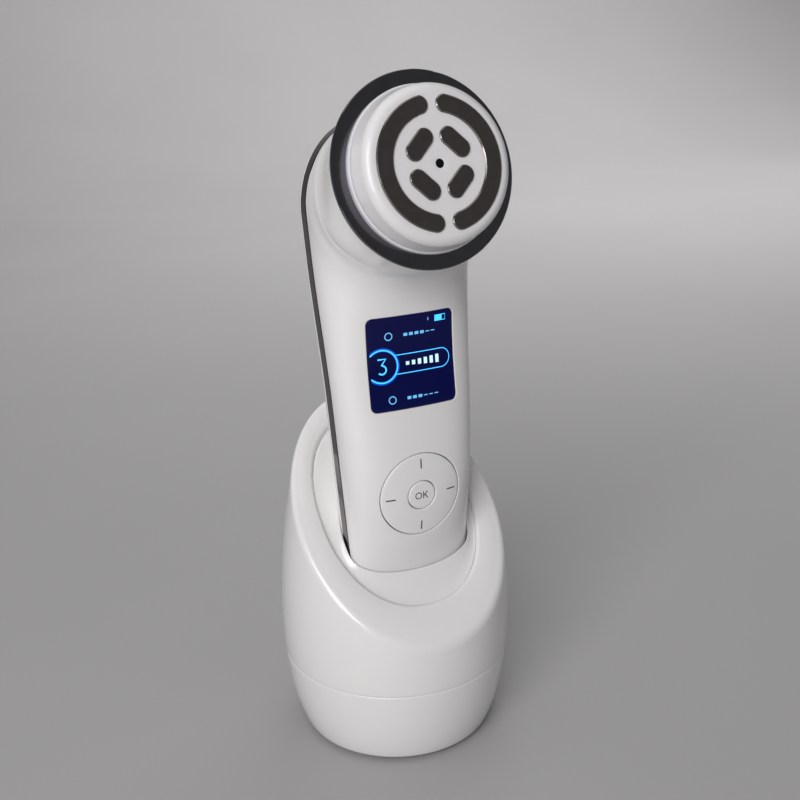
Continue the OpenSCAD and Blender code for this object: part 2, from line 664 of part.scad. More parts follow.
module output_transformer() color(black) seated() translate([0, battery_y, board_high - 10]) {
    core_w = 16;
    core_h = 14;
    core_t = 8;
    limb = 2.6;
    translate([-core_w / 2, 0, 0]) cube([core_w, core_t, limb]);
    translate([-core_w / 2, 0, core_h - limb]) cube([core_w, core_t, limb]);
    translate([0, core_t / 2, limb]) cylinder(r = core_t / 2 - 0.1, h = core_h - 2 * limb);
    for (x = [-1, 1]) translate([(x * (core_w - limb) - limb) / 2, 0, limb]) cube([limb, core_t, core_h - 2 * limb]);
}

module buzzer() color(black) seated() translate([0, -board_y - skin, screen_h - screen_l / 2 - 6]) rotate([90, 0, 0])
    cylinder(r = 2, h = 1.6);

module charging_pads() color(gold) seated() for (x = contact_rows)
    translate([x, contact_y, 0]) cylinder(r = contact_r, h = shell_wall + 0.6);

// ---------- dock surface ----------
around = 64;
rim_tan = tan(rim_slope);
function wall_r(z) = z < belly_z
    ? belly_r - tuck_in * (1 - sqrt(1 - pow((belly_z - z) / tuck_h, 2)))
    : belly_r - lean_in * (1 - cos(90 * min((z - belly_z) / lean_h, 1)));
function rim_height(y) = rim_z + y * rim_tan;
// Height at which the wall meets the rim's plane at an angle, found by repeated guesses
function rim_meet(a, z, count) = count == 0 ? z : rim_meet(a, rim_height(wall_r(z) * sin(a)), count - 1);
function rim_corner_z(a) = rim_meet(a, rim_height(belly_r * sin(a) * 0.9), 24);
function on_plan(a, r, z) = [r * cos(a), r * sin(a), z];
// The recess is a little fuller at its corners than an ellipse, which would have an exponent of 2
recess_full = 2.2;
// Rake of the recess's wall, from plumb at 0 to square with the rim's slope at 1
recess_rake = 0.4;
// Point on the recess's outline in plan, lowered along its wall to a depth square to the rim
function on_recess(a, grow, drop) = let(
        full = pow(pow(abs(cos(a)), recess_full) + pow(abs(sin(a)), recess_full), -1 / recess_full),
        x = (recess_x + grow) * full * cos(a),
        y = (recess_y + grow) * full * sin(a) - recess_forward)
    [x, y + recess_rake * drop * sin(rim_slope),
        rim_height(y) - drop * (cos(rim_slope) + (1 - recess_rake) * sin(rim_slope) * rim_tan)];

// Most of the rim's band that its soft outer edge may take where the band is narrow
soft_share = 0.7;
function rim_edge(a) = let(z = rim_corner_z(a))
    min(rim_soft, soft_share * norm(on_recess(a, lip_r, 0) - on_plan(a, wall_r(z), z)));

wall_steps = 7;
function upper_wall(a, thick) = let(
        top = rim_corner_z(a) - rim_edge(a))
    [for (i = [0 : wall_steps]) let(z = mix(seam_z, top, i / wall_steps)) on_plan(a, wall_r(z) - thick, z)];

// One upright slice of the upper housing, from the seam over the rim and back down inside
function dock_slice(a) = let(
        corner_z = rim_corner_z(a),
        corner = on_plan(a, wall_r(corner_z), corner_z),
        wall = upper_wall(a, 0),
        start = wall[wall_steps],
        lip = on_recess(a, lip_r, 0),
        soft = rim_edge(a),
        shelf = corner + soft * unit(lip - corner),
        crown = [0, -sin(rim_slope), cos(rim_slope)] * band_crown,
        edge = [for (t = [0.2 : 0.2 : 0.8]) let(s = 1 - t) s*s * start + 2*s*t * corner + t*t * shelf],
        band = [for (t = [0 : 0.25 : 1]) mix(shelf, lip, t) + crown * 4 * t * (1 - t)],
        turn = [for (b = [18 : 18 : 90]) on_recess(a, lip_r * (1 - sin(b)), lip_r * (1 - cos(b)))],
        inner_corner = corner_z - soft - dock_wall,
        inside = [for (i = [0 : 3]) let(z = mix(inner_corner, seam_z, i / 3)) on_plan(a, wall_r(z) - dock_wall, z)])
    concat(wall, edge, band, turn,
        [on_recess(a, 0, recess_depth), on_recess(a, dock_wall, recess_depth), on_recess(a, dock_wall, dock_wall + 1.2)],
        inside);

module dock_upper() color(white) ring_loop([for (i = [0 : around - 1]) dock_slice(360 * i / around)]);

lower_steps = 12;
lower_from = foot_pad_t + 0.4;
module dock_lower() color(white) {
    outer = [for (i = [0 : lower_steps]) let(z = mix(lower_from, seam_z - skin, i / lower_steps)) [wall_r(z), z]];
    inner = [for (i = [lower_steps : -1 : 0]) let(z = mix(lower_from, seam_z - skin, i / lower_steps)) [wall_r(z) - dock_wall, z]];
    difference() {
        union() {
            rotate_extrude() polygon(concat(outer, inner));
            at_dock_screws() translate([0, 0, base_top + skin]) cylinder(r = boss_r, h = boss_h);
            at_dock_screws() translate([0, -1.2, base_top + skin])
                cube([wall_r(base_top) - dock_wall / 2 - screw_r, 2.4, boss_h]);
        }
        at_dock_screws() translate([0, 0, base_top - over]) cylinder(r = 1.05, h = boss_h + 2 * over);
        inlet_form(inlet_w + 0.6, inlet_h + 0.6, inlet_face - dock_wall - 3 * over, dock_wall + 6 * over);
        cylinder(r = base_r + 2 * skin, h = base_top + skin);
    }
}

module foot_pad() color(grey) cylinder(r = foot_pad_r, h = foot_pad_t);

base_top = foot_pad_t + base_t;
base_r = 27.8;
boss_r = 3;
boss_h = 6;
screw_r = 24;
module at_dock_screws() for (a = [45 : 90 : 315]) rotate(a) translate([screw_r, 0, 0]) children();

module base_plate() color(grey) difference() {
    translate([0, 0, foot_pad_t]) cylinder(r = base_r, h = base_t);
    at_dock_screws() translate([0, 0, foot_pad_t - over]) cylinder(r = 1.25, h = base_t + 2 * over);
    at_dock_screws() translate([0, 0, foot_pad_t - over]) cylinder(r = 2.2, h = over + 1.1);
}

module dock_screws() color(steel) at_dock_screws() {
    translate([0, 0, foot_pad_t + 0.1]) cylinder(r = 2.1, h = 1);
    translate([0, 0, foot_pad_t + 1]) cylinder(r = 1, h = base_t + 4);
}

module ballast_weight() color(steel) translate([0, 0, base_top]) cylinder(r = ballast_r, h = ballast_t);

dock_board_z = base_top + ballast_t + skin;
inlet_z = dock_board_z + board_t + inlet_h / 2 + skin;
inlet_depth = 7.4;
inlet_face = wall_r(inlet_z) - 0.4;
module dock_board() color(board_green) translate([0, 0, dock_board_z]) linear_extrude(board_t) union() {
    translate([-ballast_r / 2, -0.6 * ballast_r]) square([ballast_r, 1.6 * ballast_r]);
    translate([-inlet_w / 2 - 0.5, ballast_r / 2])
        square([inlet_w + 1, inlet_face - dock_wall - 0.8 - ballast_r / 2]);
}

// The inlet's oblong, running back along Y
module inlet_form(w, h, from, run) {
    translate([0, from, inlet_z]) rotate([-90, 0, 0]) linear_extrude(run) union() {
        square([w - h, h], center = true);
        for (x = [-1, 1]) translate([x * (w - h) / 2, 0]) circle(h / 2);
    }
}

module usb_socket() color(steel) difference() {
    inlet_form(inlet_w, inlet_h, inlet_face - inlet_depth, inlet_depth);
    difference() {
        inlet_form(inlet_w - 0.6, inlet_h - 0.6, inlet_face - inlet_depth + 1, inlet_depth);
        translate([-3.3, inlet_face - inlet_depth, inlet_z - 0.35]) cube([6.6, inlet_depth - 1, 0.7]);
    }
}

// ---------- cradle ----------
// Outline of the handset's section with room round it: angle 0 is +X, 90 the back, 270 the front
function socket_section(a, h, grow) = let(
        back = sin(a) > 0,
        depth = back ? rear_b(h, 0) : face_depth(h) + part_y(h),
        n = back ? 2.35 : 2.1,
        c = abs(cos(a)),
        s = abs(sin(a)),
        w = side_w(h) + grow + trim_proud,
        d = depth + grow,
        r = pow(pow(c / w, n) + pow(s / d, n), -1 / n))
    [r * cos(a), part_y(h) + r * sin(a), h];
// The trim band's foot rests on the socket's floor
socket_floor = -trim_proud - skin;
// Height in the handset's frame at which the socket's wall meets the recess
function mouth_h(a, grow, h, count) = count == 0 ? h : let(
        p = to_dock(socket_section(a, h, grow)),
        aim = rim_height(p[1]) - slot_drop / cos(rim_slope))
    mouth_h(a, grow, h + (aim - p[2]) * 0.75, count - 1);
function mouth_of(a) = mouth_h(a, socket_clear, 45, 30);

// Heights of the socket's wall, closer together round the handset's foot, then shares of the way to the mouth
socket_heights = [socket_floor, 1.2, 3, 5.5, 9, 13, 18];
mouth_steps = 3;
dish_steps = 5;
// Thickness of the dish's edge, and depth of its hollow at most and as a share of its width
dish_edge = 0.4;
dish_sag = 0.6;
dish_share = 0.15;
function cradle_slice(a) = let(
        top = mouth_of(a),
        mouth = to_dock(socket_section(a, top, socket_clear)),
        out = atan2((mouth[1] + recess_forward) / recess_y, mouth[0] / recess_x),
        edge = on_recess(out, -2 * skin, recess_depth - dish_edge),
        last = len(socket_heights) - 1,
        low_heights = concat(socket_heights, [for (i = [1 : mouth_steps]) mix(socket_heights[last], top - 0.5, i / mouth_steps)]),
        inner = [for (h = low_heights) to_dock(socket_section(a, h, socket_clear))],
        sag = min(dish_sag, dish_share * norm(edge - mouth)) * [0, sin(rim_slope), -cos(rim_slope)],
        dish = [for (i = [0 : dish_steps]) let(t = i / dish_steps) mix(mouth, edge, t) + sag * 2 * t * (1 - t) * (1 + t)],
        outer = [for (h = [top - 6, mix(top - 6, 13, 0.5), 13, 5.5, 1.2, socket_floor - cradle_wall])
            to_dock(socket_section(a, h, socket_clear + cradle_wall))])
    concat(inner, dish, [on_recess(out, -2 * skin, recess_depth)], outer);

module cradle_insert() color(white) {
    slices = [for (i = [0 : around - 1]) cradle_slice(360 * i / around)];
    levels = [for (k = [0 : len(slices[0]) - 1]) [for (s = slices) s[k]]];
    difference() {
        ring_stack(levels);
        seated() pin_block_form(skin, over);
    }
}

pin_y = contact_y;
pin_block_l = 3 * contact_pitch + 1;
pin_block_w = 7;
module pin_block_form(gap, more) {
    translate([-pin_block_l / 2 - gap, pin_y - pin_block_w / 2 - gap, socket_floor - cradle_wall - more])
        cube([pin_block_l + 2 * gap, pin_block_w + 2 * gap, cradle_wall + more + over]);
}

// Underside of the cradle's floor, where the pin block's flange sits
pin_top = socket_floor - cradle_wall;
pin_flange = 1;
pin_r = 0.9;
pin_head_r = 1.3;
pin_head_t = 0.8;
// Guide above the pins' heads, base under their springs, and the springs' solid length
pin_guide_t = 1.6;
pin_base_t = 0.8;
spring_solid = 1.6;
pin_body_h = pin_guide_t + pin_head_t + pin_travel + spring_solid + pin_base_t;
module pin_block() color(black) seated() {
    difference() {
        union() {
            translate([-pin_block_l / 2, pin_y - pin_block_w / 2, pin_top - over])
                cube([pin_block_l, pin_block_w, cradle_wall + over]);
            translate([-pin_block_l / 2 - pin_flange, pin_y - pin_block_w / 2 - pin_flange, pin_top - skin - pin_body_h])
                cube([pin_block_l + 2 * pin_flange, pin_block_w + 2 * pin_flange, pin_body_h]);
        }
        for (x = contact_rows) translate([x, pin_y, 0]) {
            translate([0, 0, pin_top - pin_guide_t]) cylinder(r = pin_r + 0.06, h = pin_guide_t + cradle_wall + over);
            translate([0, 0, spring_seat]) cylinder(r = pin_head_r + 0.15, h = pin_top - pin_guide_t + skin - spring_seat);
        }
    }
}

pin_foot = pin_top - pin_guide_t - skin;
module contact_pins() color(gold) seated() for (x = contact_rows) translate([x, pin_y, 0]) {
    translate([0, 0, pin_foot - pin_head_t]) cylinder(r = pin_head_r, h = pin_head_t);
    translate([0, 0, pin_foot]) cylinder(r = pin_r, h = -pin_foot - 0.5 - skin);
    translate([0, 0, -0.5 - skin]) cylinder(r1 = pin_r, r2 = 0.5, h = 0.5);
}

spring_seat = pin_top - pin_body_h + pin_base_t;
module pin_springs() color(steel) seated() for (x = contact_rows) translate([x, pin_y, spring_seat])
    cylinder(r = 0.9, h = pin_foot - pin_head_t - spring_seat - skin);

front_shell();
rear_shell();
side_trim();
head_ring();
light_ring();
head_cap();
arc_electrodes();
pad_electrodes();
sensor_lens();
head_board();
contact_springs();
display_lens();
display_module();
main_board();
dome_switches();
board_screws();
inner_frame();
battery();
output_transformer();
buzzer();
charging_pads();
nav_ring();
nav_collar();
ok_button();
dock_upper();
dock_lower();
cradle_insert();
base_plate();
foot_pad();
ballast_weight();
dock_board();
usb_socket();
pin_block();
contact_pins();
pin_springs();
dock_screws();
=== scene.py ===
"""Looks of the facial toning handset and its charging dock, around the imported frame."""
import math

import bpy
from mathutils import Matrix, Vector


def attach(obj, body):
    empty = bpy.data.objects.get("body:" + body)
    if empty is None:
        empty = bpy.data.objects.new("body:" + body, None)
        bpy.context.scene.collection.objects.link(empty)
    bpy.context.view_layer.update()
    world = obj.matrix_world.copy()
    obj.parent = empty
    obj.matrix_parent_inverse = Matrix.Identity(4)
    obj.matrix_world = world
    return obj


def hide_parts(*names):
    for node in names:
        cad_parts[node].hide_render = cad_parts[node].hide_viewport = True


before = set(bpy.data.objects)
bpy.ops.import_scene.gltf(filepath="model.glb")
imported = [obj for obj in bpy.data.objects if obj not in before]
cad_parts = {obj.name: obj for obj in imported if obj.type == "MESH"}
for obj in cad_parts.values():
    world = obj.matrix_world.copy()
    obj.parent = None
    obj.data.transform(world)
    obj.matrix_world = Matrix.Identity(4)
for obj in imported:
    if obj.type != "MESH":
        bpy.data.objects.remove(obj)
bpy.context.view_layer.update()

# --- Sizes in millimetres, as in the part's source ---
MM = 0.001

# Dock wall: its widest radius, how far it draws in below and above that, and over what height
BELLY_R, BELLY_Z = 35.9, 38
TUCK_IN, TUCK_H = 11.7, 42
LEAN_IN, LEAN_H = 8.9, 66
DOCK_WALL = 2.2

# Seam between the two housings, the lower wall's edge, and the rounding of both edges
SEAM_Z, LOWER_FROM = 26.4, 1.4
EDGE_ROUND = 0.35

# Sloping rim: its height on the dock's axis, its soft outer edge and its crowned band
RIM_Z, RIM_SLOPE = 77.4, math.radians(44.6)
RIM_SOFT, SOFT_SHARE, BAND_CROWN = 2.2, 0.7, 0.2

# Recess in the rim, and the dished floor between it and the socket
RECESS_X, RECESS_Y, RECESS_FORWARD = 24.6, 23.3, 2.5
RECESS_FULL, RECESS_RAKE, RECESS_DEPTH = 2.2, 0.4, 1.5
LIP_R = 1.4
DISH_EDGE, DISH_SAG, DISH_SHARE = 0.4, 0.6, 0.15

# Socket round the handset's foot, and the power inlet at the back
SOCKET_CLEAR, SOCKET_FRONT_FULL, SOCKET_BACK_FULL = 0.45, 2.1, 2.35
INLET_W, INLET_H, INLET_Z, INLET_LIP = 9, 3.2, 10.8, 0.3

# Handset: how it stands in the dock, and its outline from the front
LEAN = math.radians(4)
FOOT_Y, FOOT_Z = -8, 22
FOOT_W, FOOT_ROUND, FOOT_SOFT, FOOT_POWER = 17.4, 7, 16, 2.2
HEAD_R, HEAD_H = 24.2, 144.8

# Rear shell: its depth, the shape of its top, and how it draws in at the foot
REAR_DEPTH, REAR_TOP_POWER = 16.5, 0.75
REAR_FOOT_IN, REAR_FOOT_H = 6.5, 22

# Depth of the front surface's middle line by height
FACE_LINE = [(0, 8), (18, 10.4), (35, 11.8), (48, 15.2), (61, 17.3), (78, 17.4), (101, 15.7),
             (114, 16.1)]

# Parting line between the shells: where it lies, where it bends, and how it falls back on top
PART_LOW, PART_HIGH = -6.2, -3.6
PART_BEND_FROM, PART_BEND_TO = 88, 132
PART_TOP_SHIFT, PART_TOP_OVER = 5.6, 3.2

# How square the front's level sections are, low and high
LOW_FULL, HIGH_FULL, FULLER_FROM, FULLER_TO = 0.56, 0.75, 40, 72

# Trim band: it widens from the foot upwards and stands a little proud
TRIM_W, TRIM_FOOT_W, TRIM_GROWS, TRIM_PROUD = 4.1, 2, 26, 0.15

# Treatment head
RING_H, RING_Y, HEAD_TILT = 155.5, 28.84, math.radians(13.1)
RING_T, LAND_R = 1, 24.6
GLOW_H = 1.6
CAP_R, CAP_TAPER, FACE_H, SHOULDER_R = 21.7, 0.6, 9.06, 2.8
SENSOR_R = 1.15

# Keys and screen
NAV_H, NAV_R, OK_R, KEY_GAP = 61.2, 12.7, 4.3, 0.25
SCREEN_H, SCREEN_W, SCREEN_L, SCREEN_CORNER = 101.4, 27, 27, 1.7
WINDOW_CLEAR = 0.1

# Clearance that keeps a skin off its neighbour
SKIN = 0.05


# --- Plain mathematics ---
def mix(a, b, t):
    return a + (b - a) * t


def ease(t):
    t = min(max(t, 0.0), 1.0)
    return t * t * (3 - 2 * t)


def bezier(a, b, c, d, t):
    s = 1 - t
    return a * (s * s * s) + b * (3 * s * s * t) + c * (3 * s * t * t) + d * (t * t * t)


def curve(points, x):
    """Smooth curve through points of the form (place, value)."""
    i = 0
    while i < len(points) - 2 and x >= points[i + 1][0]:
        i += 1
    width = points[i + 1][0] - points[i][0]
    t = (x - points[i][0]) / width

    def slope_at(k):
        a, b = points[max(k - 1, 0)], points[min(k + 1, len(points) - 1)]
        return (b[1] - a[1]) / (b[0] - a[0])

    m0, m1 = slope_at(i) * width, slope_at(i + 1) * width
    return (points[i][1] * (2 * t**3 - 3 * t * t + 1) + m0 * (t**3 - 2 * t * t + t)
            + points[i + 1][1] * (3 * t * t - 2 * t**3) + m1 * (t**3 - t * t))


def steps(a, b, n):
    """Evenly spaced values from a to b, both included."""
    return [mix(a, b, k / n) for k in range(n + 1)]


def full_turn(count):
    """Angles all the way round."""
    return [2 * math.pi * k / count for k in range(count)]


# --- Handset outline, with heights h above its foot, in its own frame ---
SIDE_ANGLE = math.asin(HEAD_R / math.hypot(FOOT_W, HEAD_H)) - math.atan(FOOT_W / HEAD_H)
SIDE_TOP_H = HEAD_H - HEAD_R * math.sin(SIDE_ANGLE)
HEAD_TOP_H = HEAD_H + HEAD_R
PART_TOP_FROM = HEAD_H + PART_TOP_OVER
OUTLINE_END = SIDE_TOP_H + 90 + math.degrees(SIDE_ANGLE)


def face_depth(h):
    return curve(FACE_LINE, h)


def face_slope(h):
    return (face_depth(h + 1) - face_depth(h - 1)) / 2


def part_y(h):
    bend = ease((h - PART_BEND_FROM) / (PART_BEND_TO - PART_BEND_FROM))
    top = max(0, (h - PART_TOP_FROM) / (HEAD_TOP_H - PART_TOP_FROM))
    return PART_LOW + (PART_HIGH - PART_LOW) * bend + PART_TOP_SHIFT * top**2


def side_w(h):
    round_off = FOOT_ROUND * max(0, 1 - h / FOOT_SOFT) ** FOOT_POWER
    return FOOT_W + h * math.tan(SIDE_ANGLE) - round_off


def fullness(h):
    return mix(LOW_FULL, HIGH_FULL, ease((h - FULLER_FROM) / (FULLER_TO - FULLER_FROM)))


def outline(u, grow=0.0):
    """(half-width, height): u climbs the side as a height, then the head in degrees."""
    if u <= SIDE_TOP_H:
        return side_w(u) + grow, u
    a = math.radians(u - SIDE_TOP_H) - SIDE_ANGLE
    return (HEAD_R + grow) * math.cos(a), HEAD_H + (HEAD_R + grow) * math.sin(a)


def rear_depth(u):
    """Depth of the rear shell behind the parting line, at a place on the outline."""
    turn = min(max(0.0, u - SIDE_TOP_H - math.degrees(SIDE_ANGLE)), 89.999)
    dome = REAR_DEPTH * math.cos(math.radians(turn)) ** REAR_TOP_POWER
    return dome - REAR_FOOT_IN * max(0, 1 - u / REAR_FOOT_H) ** 2


def band_at(h):
    """Width of the trim band, which widens from the foot upwards."""
    return mix(TRIM_FOOT_W, TRIM_W, ease(h / TRIM_GROWS))


def to_dock(p):
    """From the handset's frame to the dock's."""
    c, s = math.cos(LEAN), math.sin(LEAN)
    return Vector((p.x, FOOT_Y + p.y * c + p.z * s, FOOT_Z - p.y * s + p.z * c))


# --- Front surface: level sections, then ones that turn with the head ---
HEAD_UP = Vector((0, math.sin(HEAD_TILT), math.cos(HEAD_TILT)))
HEAD_OUT = Vector((0, -math.cos(HEAD_TILT), math.sin(HEAD_TILT)))
RING_CENTRE = Vector((0, -RING_Y, RING_H))
LAND_CENTRE = RING_CENTRE - HEAD_OUT * RING_T

NECK_FROM = 104
NECK_RISE = 18
NECK_REACH = 14
RIDGE_REACH = 9
TOP_SHARE = 0.714
ROUND = 0.5523
ROUND_FROM = 0.9
WIDEST_FROM, WIDEST_TO, WIDEST_DROP = 0.3, 0.78, 0.62
RATE_STEP = 0.001
FLAT_END = 1e-6

NECK_START = Vector((0, -face_depth(NECK_FROM), NECK_FROM))
NECK_END = LAND_CENTRE - HEAD_UP * LAND_R
RIDGE_START = Vector((0, part_y(HEAD_TOP_H), HEAD_TOP_H))
RIDGE_END = LAND_CENTRE + HEAD_UP * LAND_R


def neck_point(s):
    """Point on the neck's middle line in the side view."""
    up = Vector((0, -face_slope(NECK_FROM), 1)) * NECK_RISE
    return bezier(NECK_START, NECK_START + up, NECK_END - HEAD_OUT * NECK_REACH, NECK_END, s)


def back_point(s):
    """Point on the parting line, then on the ridge behind the ring, in the side view."""
    if s <= TOP_SHARE:
        h = mix(NECK_FROM, HEAD_TOP_H, s / TOP_SHARE)
        return Vector((0, part_y(h), h))
    t = (s - TOP_SHARE) / (1 - TOP_SHARE)
    return bezier(RIDGE_START, RIDGE_START + Vector((0, -RIDGE_REACH, 0)),
                  RIDGE_END - HEAD_OUT * RIDGE_REACH, RIDGE_END, t)


def widest_share(s):
    """Share of a turned section's length where it is widest: all low down, half at the ring."""
    drop = WIDEST_DROP * ease((s - WIDEST_FROM) / (WIDEST_TO - WIDEST_FROM))
    return 1 - mix(drop, 0.5, ease((s - WIDEST_TO) / (1 - WIDEST_TO)))


def section_line(s):
    """Start, direction and length of a turned section in the side view."""
    low = neck_point(s)
    along = back_point(s) - low
    return low, along / along.length, along.length


def parting_end(s):
    """Half-width where a section ends, and how fast half its square closes upwards."""
    h = mix(NECK_FROM, HEAD_TOP_H, min(s / TOP_SHARE, 1))
    if h <= SIDE_TOP_H:
        return side_w(h), 0.0
    return math.sqrt(max(HEAD_R**2 - (h - HEAD_H) ** 2, 0)), max(h - HEAD_H, 0)


def parting_width(s):
    """Half-width of the section that meets the parting line squarely."""
    along, length = section_line(s)[1:]
    end, closing = parting_end(s)
    return math.sqrt(end**2 + closing * along.z * length * (1 - widest_share(s)))


TOP_WIDTH = parting_width(TOP_SHARE)
TOP_RATE = (TOP_WIDTH - parting_width(TOP_SHARE - RATE_STEP)) / RATE_STEP * (1 - TOP_SHARE)


def section_width(s):
    if s <= TOP_SHARE:
        return parting_width(s)
    t = (s - TOP_SHARE) / (1 - TOP_SHARE)
    return (TOP_WIDTH * (2 * t**3 - 3 * t * t + 1) + TOP_RATE * (t**3 - 2 * t * t + t)
            + LAND_R * (3 * t * t - 2 * t**3))


def level_point(h, t):
    """Point of the section at height h, t from the front's middle to the parting line."""
    depth, back, w, full = face_depth(h), part_y(h), side_w(h), fullness(h)
    reach = full * (depth + back)
    return bezier(Vector((0, -depth, h)), Vector((full * w, -depth, h)),
                  Vector((w, back - reach, h)), Vector((w, back, h)), t)


def turned_point(s, t):
    """Point of a turned section, t from the neck's middle line to the parting line or ridge."""
    low, along, length = section_line(s)
    width, share = section_width(s), widest_share(s)
    full = mix(HIGH_FULL, ROUND, ease(s / ROUND_FROM))
    if t <= share:
        k = t / share
        across = bezier(0, full * width, width, width, k)
        run = share * length * bezier(0, 0, 1 - full, 1, k)
    else:
        k = (t - share) / (1 - share)
        rest = (1 - share) * length
        end, closing = parting_end(s)
        if end > 0 and closing * along.z < FLAT_END:
            across, run = width, length - rest * (1 - k)
        else:
            half = math.sqrt(rest**2 + rest * end**2 / (closing * along.z)) if end > 0 else rest
            turn = math.asin(min(rest / half, 1.0)) * k
            across, run = width * math.cos(turn), length - rest + half * math.sin(turn)
    p = low + along * run
    return Vector((across, p.y, p.z))


def front_point(u, v):
    """The front surface: u runs up the body to 1 and on over the head to 2, v from -1 to 1."""
    t = min(abs(v), 1)
    p = level_point(NECK_FROM * u, t) if u <= 1 else turned_point(u - 1, t)
    return Vector((-p.x if v < 0 else p.x, p.y, p.z))


# --- Dock outlines, each at an angle round the dock's axis ---
SOLVE_ROUNDS = 40
CORNER_GUESS = 0.9
MOUTH_GUESS, MOUTH_RATE = 45.0, 0.75


def wall_r(z):
    """Radius of the dock's outer wall."""
    if z < BELLY_Z:
        return BELLY_R - TUCK_IN * (1 - math.sqrt(1 - ((BELLY_Z - z) / TUCK_H) ** 2))
    return BELLY_R - LEAN_IN * (1 - math.cos(math.pi / 2 * min((z - BELLY_Z) / LEAN_H, 1)))


def rim_height(y):
    return RIM_Z + y * math.tan(RIM_SLOPE)


def rim_corner_z(a):
    """Height at which the sloping rim meets the wall."""
    z = rim_height(BELLY_R * math.sin(a) * CORNER_GUESS)
    for _ in range(SOLVE_ROUNDS):
        z = rim_height(wall_r(z) * math.sin(a))
    return z


def on_recess(a, grow, drop):
    """Point of the recess's wall, grown outwards, at a depth below the rim."""
    c, s = math.cos(a), math.sin(a)
    full = (abs(c) ** RECESS_FULL + abs(s) ** RECESS_FULL) ** (-1 / RECESS_FULL)
    x, y = (RECESS_X + grow) * full * c, (RECESS_Y + grow) * full * s - RECESS_FORWARD
    fall = math.cos(RIM_SLOPE) + (1 - RECESS_RAKE) * math.sin(RIM_SLOPE) * math.tan(RIM_SLOPE)
    back = RECESS_RAKE * drop * math.sin(RIM_SLOPE)
    return Vector((x, y + back, rim_height(y) - drop * fall))


def socket_section(a, h, grow):
    """Point of the socket round the handset, at a height in the handset's frame."""
    back = math.sin(a) > 0
    depth = rear_depth(h) if back else face_depth(h) + part_y(h)
    n = SOCKET_BACK_FULL if back else SOCKET_FRONT_FULL
    c, s = abs(math.cos(a)), abs(math.sin(a))
    w, d = side_w(max(h, 0)) + grow + TRIM_PROUD, depth + grow
    r = ((c / w) ** n + (s / d) ** n) ** (-1 / n)
    return Vector((r * math.cos(a), part_y(h) + r * math.sin(a), h))


def mouth_height(a):
    """Height, in the handset's frame, at which the socket meets the rim's plane."""
    h = MOUTH_GUESS
    for _ in range(SOLVE_ROUNDS):
        p = to_dock(socket_section(a, h, SOCKET_CLEAR))
        h += (rim_height(p.y) - p.z) * MOUTH_RATE
    return h


# --- Meshes ---
class Surface:
    """Points in millimetres and the faces between them."""

    def __init__(self):
        self.points, self.faces = [], []

    def row(self, points):
        """Adds points and gives their numbers."""
        first = len(self.points)
        self.points += points
        return list(range(first, len(self.points)))

    def join(self, a, b, closed=False):
        for i in range(len(a) if closed else len(a) - 1):
            j = (i + 1) % len(a)
            self.faces.append((a[i], a[j], b[j], b[i]))

    def rows(self, rows, closed=False):
        indices = [self.row(r) for r in rows]
        for a, b in zip(indices, indices[1:]):
            self.join(a, b, closed)
        return indices

    def ring_after(self, ring, points):
        """Adds a ring of points and joins it to the one before."""
        added = self.row(points)
        self.join(ring, added, closed=True)
        return added

    def fan(self, ring, tip):
        centre = self.row([tip])[0]
        for i in range(len(ring)):
            self.faces.append((ring[i], ring[(i + 1) % len(ring)], centre))

    def grid(self, rows, holes, closed=False):
        """Faces between rows, apart from holes: first and last row, first and last column."""
        count = len(rows[0])
        for i in range(len(rows) - 1):
            for j in range(count if closed else count - 1):
                if any(low <= i < high and left <= j < right
                       for low, high, left, right in holes):
                    continue
                k = (j + 1) % count
                self.faces.append((rows[i][j], rows[i][k], rows[i + 1][k], rows[i + 1][j]))


def around_hole(rows, low, high, left, right):
    """Numbers of the grid's points round a hole, in order."""
    return ([rows[low][j] for j in range(left, right)]
            + [rows[i][right] for i in range(low, high)]
            + [rows[high][j] for j in range(right, left, -1)]
            + [rows[i][left] for i in range(high, low, -1)])


def link(data, name):
    """Puts a mesh, lamp or camera into the scene."""
    made = bpy.data.objects.new(name, data)
    bpy.context.scene.collection.objects.link(made)
    return made


def smooth_mesh(name, points, faces, finish):
    mesh = bpy.data.meshes.new(name)
    mesh.from_pydata(points, [], faces)
    mesh.validate()
    for polygon in mesh.polygons:
        polygon.use_smooth = True
    mesh.materials.append(finish)
    return mesh


def make(name, surface, finish, body, stands_for=(), in_handset=True, flip=False):
    """Turns a surface into a piece that rides on a body."""
    points = [(to_dock(p) if in_handset else p) * MM for p in surface.points]
    faces = [f[::-1] if flip else f for f in surface.faces]
    piece = link(smooth_mesh(name, points, faces, finish), name)
    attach(piece, body)
    if stands_for:
        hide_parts(*stands_for)


